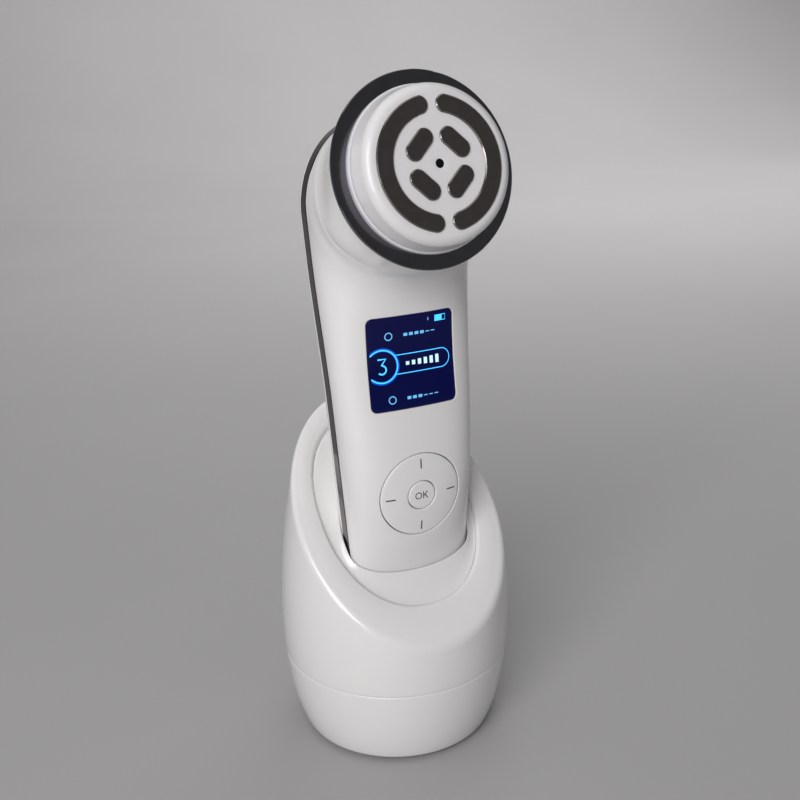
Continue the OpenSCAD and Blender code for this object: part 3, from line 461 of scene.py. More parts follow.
# --- Places on the front surface ---
class Face:
    """A plane that touches the front surface on its middle line, for what lies in it there."""

    GUESS_LENGTH, GUESS_WIDTH = 54, 26
    STEP, CLOSE, ROUNDS = 1e-4, 1e-5, 14

    def __init__(self, h):
        slope = math.atan(face_slope(h))
        self.centre = Vector((0, -face_depth(h), h))
        self.up = Vector((0, -math.sin(slope), math.cos(slope)))
        self.out = Vector((0, -math.cos(slope), -math.sin(slope)))
        self.h = h
        self.seen = {}

    def flat(self, p):
        """Place in the plane under a point."""
        return p.x, (p - self.centre).dot(self.up)

    def on_skin(self, a, b):
        """Point of the front surface over a place in the plane, by Newton's method."""
        key = (round(a, 5), round(b, 5))
        if key in self.seen:
            return self.seen[key]
        h = self.h + b
        u = h / NECK_FROM if h < NECK_FROM else 1 + (h - NECK_FROM) / self.GUESS_LENGTH
        v = a / self.GUESS_WIDTH
        for _ in range(self.ROUNDS):
            fa, fb = self.flat(front_point(u, v))
            ea, eb = a - fa, b - fb
            if abs(ea) + abs(eb) < self.CLOSE:
                break
            ua, ub = self.flat(front_point(u + self.STEP, v))
            va, vb = self.flat(front_point(u, v + self.STEP))
            j11, j21 = (ua - fa) / self.STEP, (ub - fb) / self.STEP
            j12, j22 = (va - fa) / self.STEP, (vb - fb) / self.STEP
            det = j11 * j22 - j12 * j21
            u += (ea * j22 - eb * j12) / det
            v += (eb * j11 - ea * j21) / det
        self.seen[key] = front_point(u, v)
        return self.seen[key]

    def at(self, a, b, depth=0.0):
        """Point over a place in the plane, at a depth below the front surface."""
        return self.on_skin(a, b) - self.out * depth


NAV_FACE, SCREEN_FACE = Face(NAV_H), Face(SCREEN_H)


def circle(radius, count=96):
    """Outline function: grown by an amount, as points around."""
    def outline_at(grow):
        return [((radius + grow) * math.cos(a), (radius + grow) * math.sin(a))
                for a in full_turn(count)]
    return outline_at


def rounded(width, length, corner, straight=14, turn=9):
    """The same for a rectangle with rounded corners."""
    def outline_at(grow):
        points = []
        for cx, cy, first in ((1, -1, -90), (1, 1, 0), (-1, 1, 90), (-1, -1, 180)):
            x, y = cx * (width / 2 - corner), cy * (length / 2 - corner)
            for k in range(turn + 1):
                a = math.radians(first + 90 * k / turn)
                points.append((x + (corner + grow) * math.cos(a),
                               y + (corner + grow) * math.sin(a)))
            last = points[-1]
            a = math.radians(first + 90)
            run = (length if cx * cy < 0 else width) - 2 * corner
            dx, dy = -math.sin(a), math.cos(a)
            for k in range(1, straight):
                points.append((last[0] + dx * run * k / straight,
                               last[1] + dy * run * k / straight))
        return points
    return outline_at


def ray_circle(radius):
    """Where a ray from the middle, at an angle, meets a circle grown by an amount."""
    return lambda angle, grow: ((radius + grow) * math.cos(angle),
                                (radius + grow) * math.sin(angle))


def ray_rounded(width, length, corner):
    """The same for a rectangle with rounded corners."""
    level = 1e-9

    def hit(angle, grow):
        a, b, r = width / 2 + grow, length / 2 + grow, corner + grow
        c, s = math.cos(angle), math.sin(angle)
        if abs(c) > level and abs(a * s / c) <= b - r:
            return math.copysign(a, c), math.copysign(a, c) * s / c
        if abs(s) > level and abs(b * c / s) <= a - r:
            return math.copysign(b, s) * c / s, math.copysign(b, s)
        x, y = math.copysign(a - r, c), math.copysign(b - r, s)
        along = x * c + y * s
        t = along + math.sqrt(along**2 - (x * x + y * y - r * r))
        return t * c, t * s
    return hit


# Steps through a rounded lip, from flat to upright
LIP_TURN = [math.radians(a) for a in (0, 22.5, 45, 67.5, 90)]


def lip_out(radius, turn):
    """How far a rounded lip still stands out from the wall below it, at a step of its turn."""
    return radius * (1 - math.sin(turn))


def lip_down(radius, turn):
    """How far it has gone down there."""
    return radius * (1 - math.cos(turn))


HOLE_RINGS = (0.25, 0.5, 0.7, 0.85, 0.95, 1.0)
PLATE_RINGS = (0.06, 0.15, 0.3, 0.45, 0.6, 0.75, 0.9, 0.97)
BORED_RINGS = (0.1, 0.25, 0.4, 0.55, 0.7, 0.85, 0.95)


def hole_in_skin(surface, loop, face, ray, lip, depth):
    """Rings from a loop of grid points in to a hole, over its rounded lip and down its wall."""
    flat = [face.flat(surface.points[i]) for i in loop]
    angles = [math.atan2(b, a) for a, b in flat]
    outer = loop
    for share in HOLE_RINGS:
        ring = []
        for (a, b), angle in zip(flat, angles):
            ha, hb = ray(angle, lip)
            ring.append(face.at(mix(a, ha, share), mix(b, hb, share)))
        outer = surface.ring_after(outer, ring)
    for turn in LIP_TURN[1:]:
        outer = surface.ring_after(outer, [face.at(*ray(angle, lip_out(lip, turn)),
                                                   lip_down(lip, turn)) for angle in angles])
    surface.ring_after(outer, [face.at(*ray(angle, 0), depth) for angle in angles])


def plate_in_skin(face, outline_at, inner_at, rim, depth, sink=0.0):
    """A plate that follows the front surface: wall, rounded rim, face and any bore."""
    surface = Surface()
    rows = [[face.at(a, b, depth) for a, b in outline_at(0)]]
    for turn in reversed(LIP_TURN):
        rows.append([face.at(a, b, sink + lip_down(rim, turn))
                     for a, b in outline_at(-lip_out(rim, turn))])
    edge = outline_at(-rim)
    if inner_at is None:
        for share in PLATE_RINGS:
            rows.append([face.at(mix(a, 0, share), mix(b, 0, share), sink) for a, b in edge])
        indices = surface.rows(rows, closed=True)
        surface.fan(indices[-1], face.at(0, 0, sink))
        return surface
    bore = inner_at(rim)
    for share in BORED_RINGS:
        rows.append([face.at(mix(a, c, share), mix(b, d, share), sink)
                     for (a, b), (c, d) in zip(edge, bore)])
    for turn in LIP_TURN:
        rows.append([face.at(a, b, sink + lip_down(rim, turn))
                     for a, b in inner_at(lip_out(rim, turn))])
    rows.append([face.at(a, b, depth) for a, b in inner_at(0)])
    surface.rows(rows, closed=True)
    return surface


# --- Materials ---
SHADE_FROM, SHADE_TO = 0.3, 0.7
NOISE_DETAIL = 4
RELIEF_M = 0.0002
SUBSURFACE_RADIUS_M, SUBSURFACE_SCALE = (0.004, 0.004, 0.004), 0.5


def material(name, colour, roughness, metallic=0.0, coat=0.0, coat_roughness=0.03, vary=0.02,
             scale=60.0, bump=0.0, rough_vary=0.0, glow=0.0, glow_colour=None, subsurface=0.0,
             ior=1.45):
    """A procedural finish: colour, roughness and relief change a little over the surface."""
    made = bpy.data.materials.new(name)
    made.use_nodes = True
    nodes, links = made.node_tree.nodes, made.node_tree.links
    shader = nodes["Principled BSDF"]
    place = nodes.new("ShaderNodeTexCoord")
    noise = nodes.new("ShaderNodeTexNoise")
    noise.inputs["Scale"].default_value = scale
    noise.inputs["Detail"].default_value = NOISE_DETAIL
    links.new(place.outputs["Object"], noise.inputs["Vector"])
    shade = nodes.new("ShaderNodeValToRGB")
    dark, pale = shade.color_ramp.elements
    dark.position, pale.position = SHADE_FROM, SHADE_TO
    dark.color = (*[c * (1 - vary) for c in colour], 1)
    pale.color = (*[min(c * (1 + vary), 1) for c in colour], 1)
    links.new(noise.outputs["Fac"], shade.inputs["Fac"])
    links.new(shade.outputs["Color"], shader.inputs["Base Color"])
    rough = nodes.new("ShaderNodeMapRange")
    rough.inputs["To Min"].default_value = max(roughness - rough_vary, 0.0)
    rough.inputs["To Max"].default_value = roughness + rough_vary
    links.new(noise.outputs["Fac"], rough.inputs["Value"])
    links.new(rough.outputs["Result"], shader.inputs["Roughness"])
    shader.inputs["Metallic"].default_value = metallic
    shader.inputs["IOR"].default_value = ior
    shader.inputs["Coat Weight"].default_value = coat
    shader.inputs["Coat Roughness"].default_value = coat_roughness
    if subsurface:
        shader.inputs["Subsurface Weight"].default_value = subsurface
        shader.inputs["Subsurface Radius"].default_value = SUBSURFACE_RADIUS_M
        shader.inputs["Subsurface Scale"].default_value = SUBSURFACE_SCALE
    if bump:
        relief = nodes.new("ShaderNodeBump")
        relief.inputs["Strength"].default_value = bump
        relief.inputs["Distance"].default_value = RELIEF_M
        links.new(noise.outputs["Fac"], relief.inputs["Height"])
        links.new(relief.outputs["Normal"], shader.inputs["Normal"])
    if glow:
        shader.inputs["Emission Color"].default_value = (*glow_colour, 1)
        shader.inputs["Emission Strength"].default_value = glow
    return made


def metal(name, colour, roughness, vary, scale, rough_vary):
    return material(name, colour, roughness, metallic=1, vary=vary, scale=scale,
                    rough_vary=rough_vary)


GLOSS_WHITE = material("gloss_white", (0.80, 0.785, 0.78), 0.18, coat=0.4, coat_roughness=0.08,
                       vary=0.006, scale=25, rough_vary=0.02)
KEY_WHITE = material("key_white", (0.80, 0.79, 0.785), 0.2, coat=0.4, vary=0.006, scale=40,
                     rough_vary=0.02)
SATIN_WHITE = material("satin_white", (0.76, 0.745, 0.755), 0.3, coat=0.25, vary=0.008,
                       scale=80, rough_vary=0.04, subsurface=0.1)
DIFFUSER = material("light_diffuser", (0.70, 0.69, 0.73), 0.28, vary=0.02, scale=80,
                    rough_vary=0.05, subsurface=0.4)
DARK_CHROME = metal("dark_chrome", (0.175, 0.172, 0.192), 0.13, 0.05, 300, 0.03)
SMOKED_TRIM = metal("smoked_trim", (0.16, 0.145, 0.15), 0.08, 0.04, 120, 0.02)
ELECTRODE = metal("electrode_metal", (0.25, 0.225, 0.215), 0.2, 0.06, 500, 0.05)
SENSOR = material("sensor_black", (0.004, 0.004, 0.005), 0.1, vary=0.1, scale=200, ior=1.35)
GLASS = material("display_glass", (0.002, 0.003, 0.02), 0.05, vary=0.08, scale=60, glow=0.03,
                 glow_colour=(0.01, 0.03, 1.0), ior=1.3)
PANEL = material("display_panel", (0.02, 0.02, 0.03), 0.4, vary=0.1)
BOARD = material("circuit_board", (0.02, 0.12, 0.05), 0.4, vary=0.3, scale=900, bump=0.3)
GOLD = metal("contact_gold", (0.83, 0.6, 0.25), 0.2, 0.05, 400, 0.05)
SPRING = metal("spring_steel", (0.6, 0.61, 0.63), 0.3, 0.06, 500, 0.05)
SCREW = metal("screw_steel", (0.5, 0.51, 0.53), 0.35, 0.08, 500, 0.06)
BALLAST = metal("ballast_steel", (0.42, 0.43, 0.45), 0.45, 0.1, 200, 0.1)
GREY_PLASTIC = material("frame_grey", (0.36, 0.36, 0.37), 0.45, vary=0.04, scale=300, bump=0.2)
BATTERY_WRAP = material("battery_wrap", (0.12, 0.25, 0.42), 0.35, vary=0.05, scale=200,
                        rough_vary=0.05)
DARK_PARTS = material("dark_parts", (0.02, 0.02, 0.022), 0.5, vary=0.1, scale=400, bump=0.2)
SILICONE = material("foot_silicone", (0.3, 0.3, 0.31), 0.7, vary=0.05, scale=500, bump=0.3)
PRINT_GREY = material("print_grey", (0.055, 0.055, 0.06), 0.5, vary=0.08, scale=900)

CAD_FINISH = {
    "head_ring": DARK_CHROME, "light_ring": DIFFUSER, "arc_electrodes": ELECTRODE,
    "pad_electrodes": ELECTRODE, "sensor_lens": SENSOR, "head_board": BOARD,
    "contact_springs": GOLD, "display_module": PANEL, "main_board": BOARD,
    "dome_switches": SPRING, "board_screws": SCREW, "inner_frame": GREY_PLASTIC,
    "battery": BATTERY_WRAP, "output_transformer": DARK_PARTS, "buzzer": DARK_PARTS,
    "charging_pads": GOLD, "nav_collar": GREY_PLASTIC, "base_plate": GREY_PLASTIC,
    "foot_pad": SILICONE, "ballast_weight": BALLAST, "dock_board": BOARD,
    "usb_socket": SPRING, "pin_block": DARK_PARTS, "contact_pins": GOLD,
    "pin_springs": SPRING, "dock_screws": SCREW,
}


def finish_cad_nodes():
    """Gives each CAD node that stays its own finish."""
    for name, finish in CAD_FINISH.items():
        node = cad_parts[name]
        if not node.material_slots:
            node.data.materials.append(finish)
        for material_slot in node.material_slots:
            material_slot.link = "OBJECT"
            material_slot.material = finish


# --- Handset ---
# Rows up the foot, then even ones
FOOT_ROWS = [0, 0.3, 0.8, 1.5, 2.4, 3.5, 5, 6.5, 8, 10, 12, 14]
BODY_FROM, BODY_ROWS = 16, 88
SIDE_ROWS, DOME_ROWS, RIDGE_ROWS = 30, 30, 16
DOME_STEP = 3
OVER_HEAD_ROWS = 36
REAR_SPACING, TRIM_SPACING = 2.5, 2.0

# Columns from the front's middle line to its edge, and those that a hole's block takes
COLUMNS, HOLE_COLUMNS = 40, 22
NAV_BLOCK = (NAV_H, 16.2, 16.2)
SCREEN_BLOCK = (SCREEN_H, 16.6, 16.8)
LIP, HOLE_DEPTH = 0.3, 2.0

# Closing faces: the foot's step, and how the front draws in under the ring
FOOT_STEP = 0.06
LAND_STEP, LAND_SHARE = 0.02, 0.86

# Rear shell: columns, the rounding where its depth runs out, and its edge under the trim
REAR_COLUMNS = 48
THIN_ROUND = 0.2
TUCK_SHARE, TUCK_TOP_SHARE, TUCK_TOP_FROM, TUCK_LOWEST = 0.93, 0.995, 30, 1.2


def outline_share(angle):
    """Share of the turned sections at which one ends at an angle on the head's arc."""
    h = HEAD_H + HEAD_R * math.sin(math.radians(angle))
    return TOP_SHARE * (h - NECK_FROM) / (HEAD_TOP_H - NECK_FROM)


def close_foot(surface, lowest):
    """Closes a shell's foot with a flat face just above its lowest row."""
    foot = surface.row([surface.points[i] + Vector((0, 0, FOOT_STEP)) for i in lowest])
    surface.join(foot, lowest)
    surface.faces.append(tuple(reversed(foot)))


def front_places():
    """Where the front surface's rows lie, from the foot to the ring."""
    heights = FOOT_ROWS + steps(BODY_FROM, NECK_FROM, BODY_ROWS)
    shares = [outline_share(0) * k / SIDE_ROWS for k in range(1, SIDE_ROWS + 1)]
    shares += [outline_share(DOME_STEP * k) for k in range(1, DOME_ROWS + 1)]
    shares += [mix(TOP_SHARE, 1, k / RIDGE_ROWS) for k in range(1, RIDGE_ROWS + 1)]
    return [h / NECK_FROM for h in heights] + [1 + s for s in shares]


def front_skin():
    """The front shell's skin, with its holes for the keys and the screen."""
    surface = Surface()
    across = [k / COLUMNS for k in range(-COLUMNS, COLUMNS + 1)]
    rows = [surface.row([front_point(u, v) for v in across]) for u in front_places()]
    middles = [surface.points[row[COLUMNS]].z for row in rows]
    holes = []
    for middle, below, above in (NAV_BLOCK, SCREEN_BLOCK):
        inside = [i for i, z in enumerate(middles) if middle - below <= z <= middle + above]
        holes.append((inside[0], inside[-1], COLUMNS - HOLE_COLUMNS, COLUMNS + HOLE_COLUMNS))
    surface.grid(rows, holes)
    window = [size + 2 * WINDOW_CLEAR for size in (SCREEN_W, SCREEN_L)]
    rays = [ray_circle(NAV_R + KEY_GAP), ray_rounded(*window, SCREEN_CORNER + WINDOW_CLEAR)]
    for hole, face, ray in zip(holes, (NAV_FACE, SCREEN_FACE), rays):
        hole_in_skin(surface, around_hole(rows, *hole), face, ray, LIP, HOLE_DEPTH)
    close_foot(surface, rows[0])
    land = [LAND_CENTRE - HEAD_OUT * LAND_STEP + (surface.points[i] - LAND_CENTRE) * LAND_SHARE
            for i in rows[-1]]
    surface.join(rows[-1], surface.row(land))
    make("front_skin", surface, GLOSS_WHITE, "handset", ["front_shell"])


def outline_runs(spacing):
    """Places up the outline and over the head."""
    count = round(SIDE_TOP_H / spacing)
    last = OUTLINE_END - SIDE_TOP_H
    over = [SIDE_TOP_H + last * k / OVER_HEAD_ROWS for k in range(1, OVER_HEAD_ROWS + 1)]
    return FOOT_ROWS + steps(BODY_FROM, SIDE_TOP_H, count) + over


def tucked(p):
    """Place of a rear shell's edge point after it has turned in under the trim."""
    z = p.z * TUCK_TOP_SHARE if p.z > TUCK_TOP_FROM else max(p.z, TUCK_LOWEST)
    return Vector((p.x * TUCK_SHARE, p.y, z))


def rear_skin():
    surface = Surface()
    rows = []
    for u in outline_runs(REAR_SPACING):
        x, h = outline(u)
        depth = rear_depth(u) - band_at(h)
        depth = (depth + math.sqrt(depth**2 + THIN_ROUND)) / 2
        low = part_y(h) + band_at(h)
        turns = [math.pi * k / REAR_COLUMNS for k in range(REAR_COLUMNS + 1)]
        rows.append([Vector((x * math.cos(a), low + depth * math.sin(a), h)) for a in turns])
    indices = surface.rows(rows)
    right = surface.row([tucked(row[0]) for row in rows])
    left = surface.row([tucked(row[-1]) for row in rows])
    surface.join([row[0] for row in indices], right)
    surface.join(left, [row[-1] for row in indices])
    close_foot(surface, indices[0])
    make("rear_skin", surface, GLOSS_WHITE, "handset", ["rear_shell"])


# Trim band's edge: how far out, and how far in from the band's front or back edge
TRIM_EDGE = [(-0.9, 0.05), (-0.05, 0.05), (0.09, 0.11), (0.15, 0.3)]
TRIM_ACROSS = 8


def trim_section(u, side):
    """The trim band's closed section at a place on the outline."""
    points = []
    wide, edge = band_at(outline(u)[1]), TRIM_EDGE[-1][1]
    profile = TRIM_EDGE + [(TRIM_PROUD, mix(edge, wide - edge, k / TRIM_ACROSS))
                           for k in range(1, TRIM_ACROSS)]
    profile += [(grow, wide - y) for grow, y in reversed(TRIM_EDGE)]
    for grow, y in profile:
        x, h = outline(max(u, -grow), grow)
        points.append(Vector((side * max(x, 0), part_y(h) + y, h)))
    return points


def trim_band():
    surface = Surface()
    runs = outline_runs(TRIM_SPACING)
    rows = [trim_section(u, 1) for u in runs]
    rows += [trim_section(u, -1) for u in reversed(runs[:-1])]
    indices = surface.rows(rows)
    surface.join(indices[-1], indices[0])
    make("trim_band", surface, SMOKED_TRIM, "handset", ["side_trim"])


# Cap: (out, up) at its foot, rings over its face, and (out, down) in its bore
CAP_FOOT = [(-0.4, 0.05), (-0.12, 0.08), (0, 0.2)]
CAP_FACE = [17, 14, 10, 6, 3]
CAP_BORE = [(0.2, 0), (0.12, 0.02), (0.06, 0.08), (0.05, 0.5)]
WALL_RINGS = 6
SHOULDER_STEP = 6
CAP_COLUMNS = 160


def cap():
    """The treatment cap's skin, turned round the head's axis."""
    top_r, shoulder_h = CAP_R - CAP_TAPER, FACE_H - SHOULDER_R
    profile = [(CAP_R + out, GLOW_H + up) for out, up in CAP_FOOT]
    foot_h = profile[-1][1]
    profile += [(mix(CAP_R, top_r, k / WALL_RINGS), mix(foot_h, shoulder_h, k / WALL_RINGS))
                for k in range(1, WALL_RINGS)]
    for k in range(0, 91, SHOULDER_STEP):
        a = math.radians(k)
        profile.append((top_r - SHOULDER_R + SHOULDER_R * math.cos(a),
                        shoulder_h + SHOULDER_R * math.sin(a)))
    profile += [(q, FACE_H) for q in CAP_FACE]
    profile += [(SENSOR_R + out, FACE_H - down) for out, down in CAP_BORE]
    surface = Surface()
    right = Vector((1, 0, 0))
    surface.rows([[RING_CENTRE + HEAD_OUT * height
                   + (right * math.cos(a) + HEAD_UP * math.sin(a)) * radius
                   for a in full_turn(CAP_COLUMNS)] for radius, height in profile], closed=True)
    make("cap_skin", surface, SATIN_WHITE, "handset", ["head_cap"])


KEY_RIM, KEY_DEPTH = 0.3, 2.4
LENS_RIM, LENS_DEPTH, LENS_SINK = 0.18, 1.2, 0.05


def key_pieces():
    """The navigation ring, the button in its middle and the screen's window."""
    ring = plate_in_skin(NAV_FACE, circle(NAV_R), circle(OK_R + KEY_GAP), KEY_RIM, KEY_DEPTH)
    make("nav_plate", ring, KEY_WHITE, "nav_ring", ["nav_ring"])
    button = plate_in_skin(NAV_FACE, circle(OK_R), None, KEY_RIM, KEY_DEPTH)
    make("ok_plate", button, KEY_WHITE, "ok_button", ["ok_button"])
    lens = plate_in_skin(SCREEN_FACE, rounded(SCREEN_W, SCREEN_L, SCREEN_CORNER), None,
                         LENS_RIM, LENS_DEPTH, LENS_SINK)
    make("screen_lens", lens, GLASS, "handset", ["display_lens"])


# --- Dock ---
AROUND = 224
SEAM_IN = 1.2
WALL_ROWS, EDGE_ROWS, BAND_ROWS = 26, 12, 10
RECESS_LIP_STEP = 9
BELOW_RECESS = 0.3

# Lower wall: steps of (out, up) at its edge, and the grid's block round the inlet
LOWER_EDGE = [(-1.4, 0), (-0.5, 0), (-0.2, 0.08), (-0.05, 0.25)]
LOWER_WALL_UP, LOWER_ROWS = 0.5, 30
INLET_COLUMNS, INLET_BELOW, INLET_ABOVE = 8, 4.2, 3.6
INLET_RINGS = (0.4, 0.75, 1.0)
ROUND_END = 0.001

# Cradle: heights of the socket's rings, its soft mouth and its gap to the upper housing
SOCKET_RINGS = [1.2, 3, 5.5, 9, 13, 18]
SOCKET_ROWS, DISH_ROWS = 8, 16
MOUTH_SOFT, MOUTH_STEPS, MOUTH_DISH_ROW = 0.9, (0.2, 0.4, 0.6, 0.8), 2
CRADLE_GAP = 0.03


def rounded_corner(a, corner, b, t):
    """Point of the soft corner between a and b."""
    return a * (1 - t) ** 2 + corner * (2 * t * (1 - t)) + b * t * t


def dock_upper_slice(a):
    """The upper housing from its seam up the wall, over the rim and down into the recess."""
    def on_wall(z):
        r = wall_r(z)
        return Vector((r * math.cos(a), r * math.sin(a), z))

    corner_z = rim_corner_z(a)
    corner = on_wall(corner_z)
    lip = on_recess(a, LIP_R, 0)
    soft = min(RIM_SOFT, SOFT_SHARE * (lip - corner).length)
    shelf = corner + (lip - corner).normalized() * soft
    crown = Vector((0, -math.sin(RIM_SLOPE), math.cos(RIM_SLOPE))) * BAND_CROWN
    inward = Vector((-math.cos(a), -math.sin(a), 0))
    seam = [on_wall(SEAM_Z) + inward * SEAM_IN, on_wall(SEAM_Z) + inward * EDGE_ROUND]
    seam += [on_wall(SEAM_Z) + inward * EDGE_ROUND * (1 - math.sin(t))
             + Vector((0, 0, lip_down(EDGE_ROUND, t))) for t in LIP_TURN[1:]]
    wall = [on_wall(z) for z in steps(SEAM_Z + EDGE_ROUND, corner_z - soft, WALL_ROWS)[1:]]
    edge = [rounded_corner(wall[-1], corner, shelf, t) for t in steps(0, 1, EDGE_ROWS)[1:]]
    band = [shelf.lerp(lip, t) + crown * 4 * t * (1 - t) for t in steps(0, 1, BAND_ROWS)[1:]]
    turn = [on_recess(a, lip_out(LIP_R, b), lip_down(LIP_R, b))
            for b in [math.radians(k) for k in range(RECESS_LIP_STEP, 91, RECESS_LIP_STEP)]]
    return seam + wall + edge + band + turn + [on_recess(a, 0, RECESS_DEPTH + BELOW_RECESS)]


def dock_upper():
    surface = Surface()
    slices = [dock_upper_slice(a) for a in full_turn(AROUND)]
    surface.rows([list(ring) for ring in zip(*slices)], closed=True)
    make("dock_upper_skin", surface, GLOSS_WHITE, "dock", ["dock_upper"],
         in_handset=False)


def inlet_hole(surface, loop):
    """Rings from a loop in the lower wall to the inlet, over its lip and through the wall."""
    width, height = INLET_W + 2 * INLET_LIP, INLET_H + 2 * INLET_LIP
    ray = ray_rounded(width, height, height / 2 - ROUND_END)

    def at(x, z, depth=0.0):
        return Vector((x, math.sqrt(wall_r(z) ** 2 - x * x) - depth, z))

    flat = [(surface.points[i].x, surface.points[i].z - INLET_Z) for i in loop]
    outer = loop
    for share in INLET_RINGS:
        ring = []
        for x, z in flat:
            hx, hz = ray(math.atan2(z, x), INLET_LIP)
            ring.append(at(mix(x, hx, share), INLET_Z + mix(z, hz, share)))
        outer = surface.ring_after(outer, ring)
    walls = [(lip_out(INLET_LIP, turn), lip_down(INLET_LIP, turn)) for turn in LIP_TURN[1:]]
    for grow, depth in walls + [(0, DOCK_WALL)]:
        ring = []
        for x, z in flat:
            hx, hz = ray(math.atan2(z, x), grow)
            ring.append(at(hx, INLET_Z + hz, depth))
        outer = surface.ring_after(outer, ring)


def dock_lower():
    """The lower wall, with the inlet's hole at the back."""
    surface = Surface()
    top = SEAM_Z - SKIN
    profile = [(out, LOWER_FROM + up) for out, up in LOWER_EDGE]
    wall_from = LOWER_FROM + LOWER_WALL_UP
    profile += [(0, z) for z in steps(wall_from, top - EDGE_ROUND, LOWER_ROWS)]
    profile += [(-lip_down(EDGE_ROUND, t), top - lip_out(EDGE_ROUND, t)) for t in LIP_TURN[1:]]
    profile += [(-SEAM_IN, top)]
    rows = [surface.row([Vector(((wall_r(z) + grow) * math.cos(a),
                                 (wall_r(z) + grow) * math.sin(a), z))
                         for a in full_turn(AROUND)]) for grow, z in profile]
    low = next(i for i, (grow, z) in enumerate(profile) if z > INLET_Z - INLET_BELOW)
    high = next(i for i, (grow, z) in enumerate(profile) if z > INLET_Z + INLET_ABOVE)
    back = AROUND // 4
    hole = (low, high, back - INLET_COLUMNS, back + INLET_COLUMNS)
    surface.grid(rows, [hole], closed=True)
    inlet_hole(surface, around_hole(rows, *hole))
    make("dock_lower_skin", surface, GLOSS_WHITE, "dock", ["dock_lower"],
         in_handset=False)


def cradle_slice(a):
    """The cradle from the socket's floor up its wall, over its mouth and out to the recess."""
    top = mouth_height(a)
    mouth = to_dock(socket_section(a, top, SOCKET_CLEAR))
    out = math.atan2((mouth.y + RECESS_FORWARD) / RECESS_Y, mouth.x / RECESS_X)
    edge = on_recess(out, -CRADLE_GAP, RECESS_DEPTH - DISH_EDGE)
    heights = [-TRIM_PROUD - SKIN] + SOCKET_RINGS
    heights += steps(SOCKET_RINGS[-1], top - MOUTH_SOFT, SOCKET_ROWS)[1:]
    wall = [to_dock(socket_section(a, h, SOCKET_CLEAR)) for h in heights]
    deep = min(DISH_SAG, DISH_SHARE * (edge - mouth).length)
    sag = Vector((0, math.sin(RIM_SLOPE), -math.cos(RIM_SLOPE))) * deep
    dish = [mouth.lerp(edge, t) + sag * (2 * t * (1 - t) * (1 + t))
            for t in steps(0, 1, DISH_ROWS)][MOUTH_DISH_ROW:]
    soft = [rounded_corner(wall[-1], mouth, dish[0], t) for t in MOUTH_STEPS]
    return wall + soft + dish + [on_recess(out, -CRADLE_GAP, RECESS_DEPTH + BELOW_RECESS)]


def cradle():
    surface = Surface()
    slices = [cradle_slice(a) for a in full_turn(AROUND)]
    indices = surface.rows([list(ring) for ring in zip(*slices)], closed=True)
    surface.faces.append(tuple(indices[0]))
    make("cradle_skin", surface, GLOSS_WHITE, "dock", ["cradle_insert"],
         in_handset=False, flip=True)


# --- Marks on the keys and the picture on the screen ---
def ribbon(surface, face, line, width, depth, closed=False):
    """A flat line of a given width along points in a face's plane."""
    sides = ([], [])
    n = len(line)
    for i, (a, b) in enumerate(line):
        before = line[i - 1] if closed or i > 0 else line[i]
        after = line[(i + 1) % n] if closed or i < n - 1 else line[i]
        dx, dy = after[0] - before[0], after[1] - before[1]
        run = math.hypot(dx, dy) or 1
        for side, sign in zip(sides, (1, -1)):
            side.append(face.at(a - sign * dy / run * width / 2,
                                b + sign * dx / run * width / 2, depth))
    surface.join(surface.row(sides[1]), surface.row(sides[0]), closed)


def arc(cx, cy, radius, first, last, count=48):
    angles = [math.radians(mix(first, last, k / count)) for k in range(count + 1)]
    return [(cx + radius * math.cos(a), cy + radius * math.sin(a)) for a in angles]


def whole_ring(cx, cy, radius, count):
    return arc(cx, cy, radius, 0, 360, count)[:-1]


def bar(surface, face, x, y, width, height, depth):
    ribbon(surface, face, [(x + width * k / 6, y) for k in range(7)], height, depth)


# Print stands above the skin, each crossing stroke above the last
PRINT_UP, SECOND_UP, THIRD_UP = -0.015, -0.015 * 1.2, -0.015 * 1.4
TICK_RUN, TICK_W = (8.35, 9.8, 11.25), 0.42
RING_LETTER, RING_LETTER_W = (-1.15, 0, 0.95, 32), 0.3
STROKE_W = 0.32
STEM = [(0.45, -1.1), (0.45, 0), (0.45, 1.1)]
UPPER_ARM = [(0.62, -0.12), (1.2, 0.5), (1.75, 1.1)]
LOWER_ARM = [(0.95, 0.12), (1.4, -0.5), (1.85, -1.1)]


def key_marks():
    ticks = Surface()
    for angle in (0, 90, 180, 270):
        c, s = math.cos(math.radians(angle)), math.sin(math.radians(angle))
        ribbon(ticks, NAV_FACE, [(q * c, q * s) for q in TICK_RUN], TICK_W, PRINT_UP)
    make("nav_ticks", ticks, PRINT_GREY, "nav_ring")
    letters = Surface()
    ribbon(letters, NAV_FACE, whole_ring(*RING_LETTER), RING_LETTER_W, PRINT_UP, closed=True)
    for stroke, up in ((STEM, PRINT_UP), (UPPER_ARM, SECOND_UP), (LOWER_ARM, THIRD_UP)):
        ribbon(letters, NAV_FACE, stroke, STROKE_W, up)
    make("ok_letters", letters, PRINT_GREY, "ok_button")


def light(name, colour, strength):
    """A lit print, darker in its own colour than in its glow."""
    unlit = [c * UNLIT_SHARE for c in colour]
    return material(name, unlit, 0.2, coat=0.3, vary=0.03, scale=300, glow=strength,
                    glow_colour=colour)


# The lit picture lies between the skin and the sunk window, its signs in front
UNLIT_SHARE = 0.4
UI_DEPTH = 0.02
HALO_DEPTH, LINE_DEPTH, SIGN_DEPTH, FILL_DEPTH = [UI_DEPTH * k for k in (1.2, 0.8, 0.6, 0.5)]

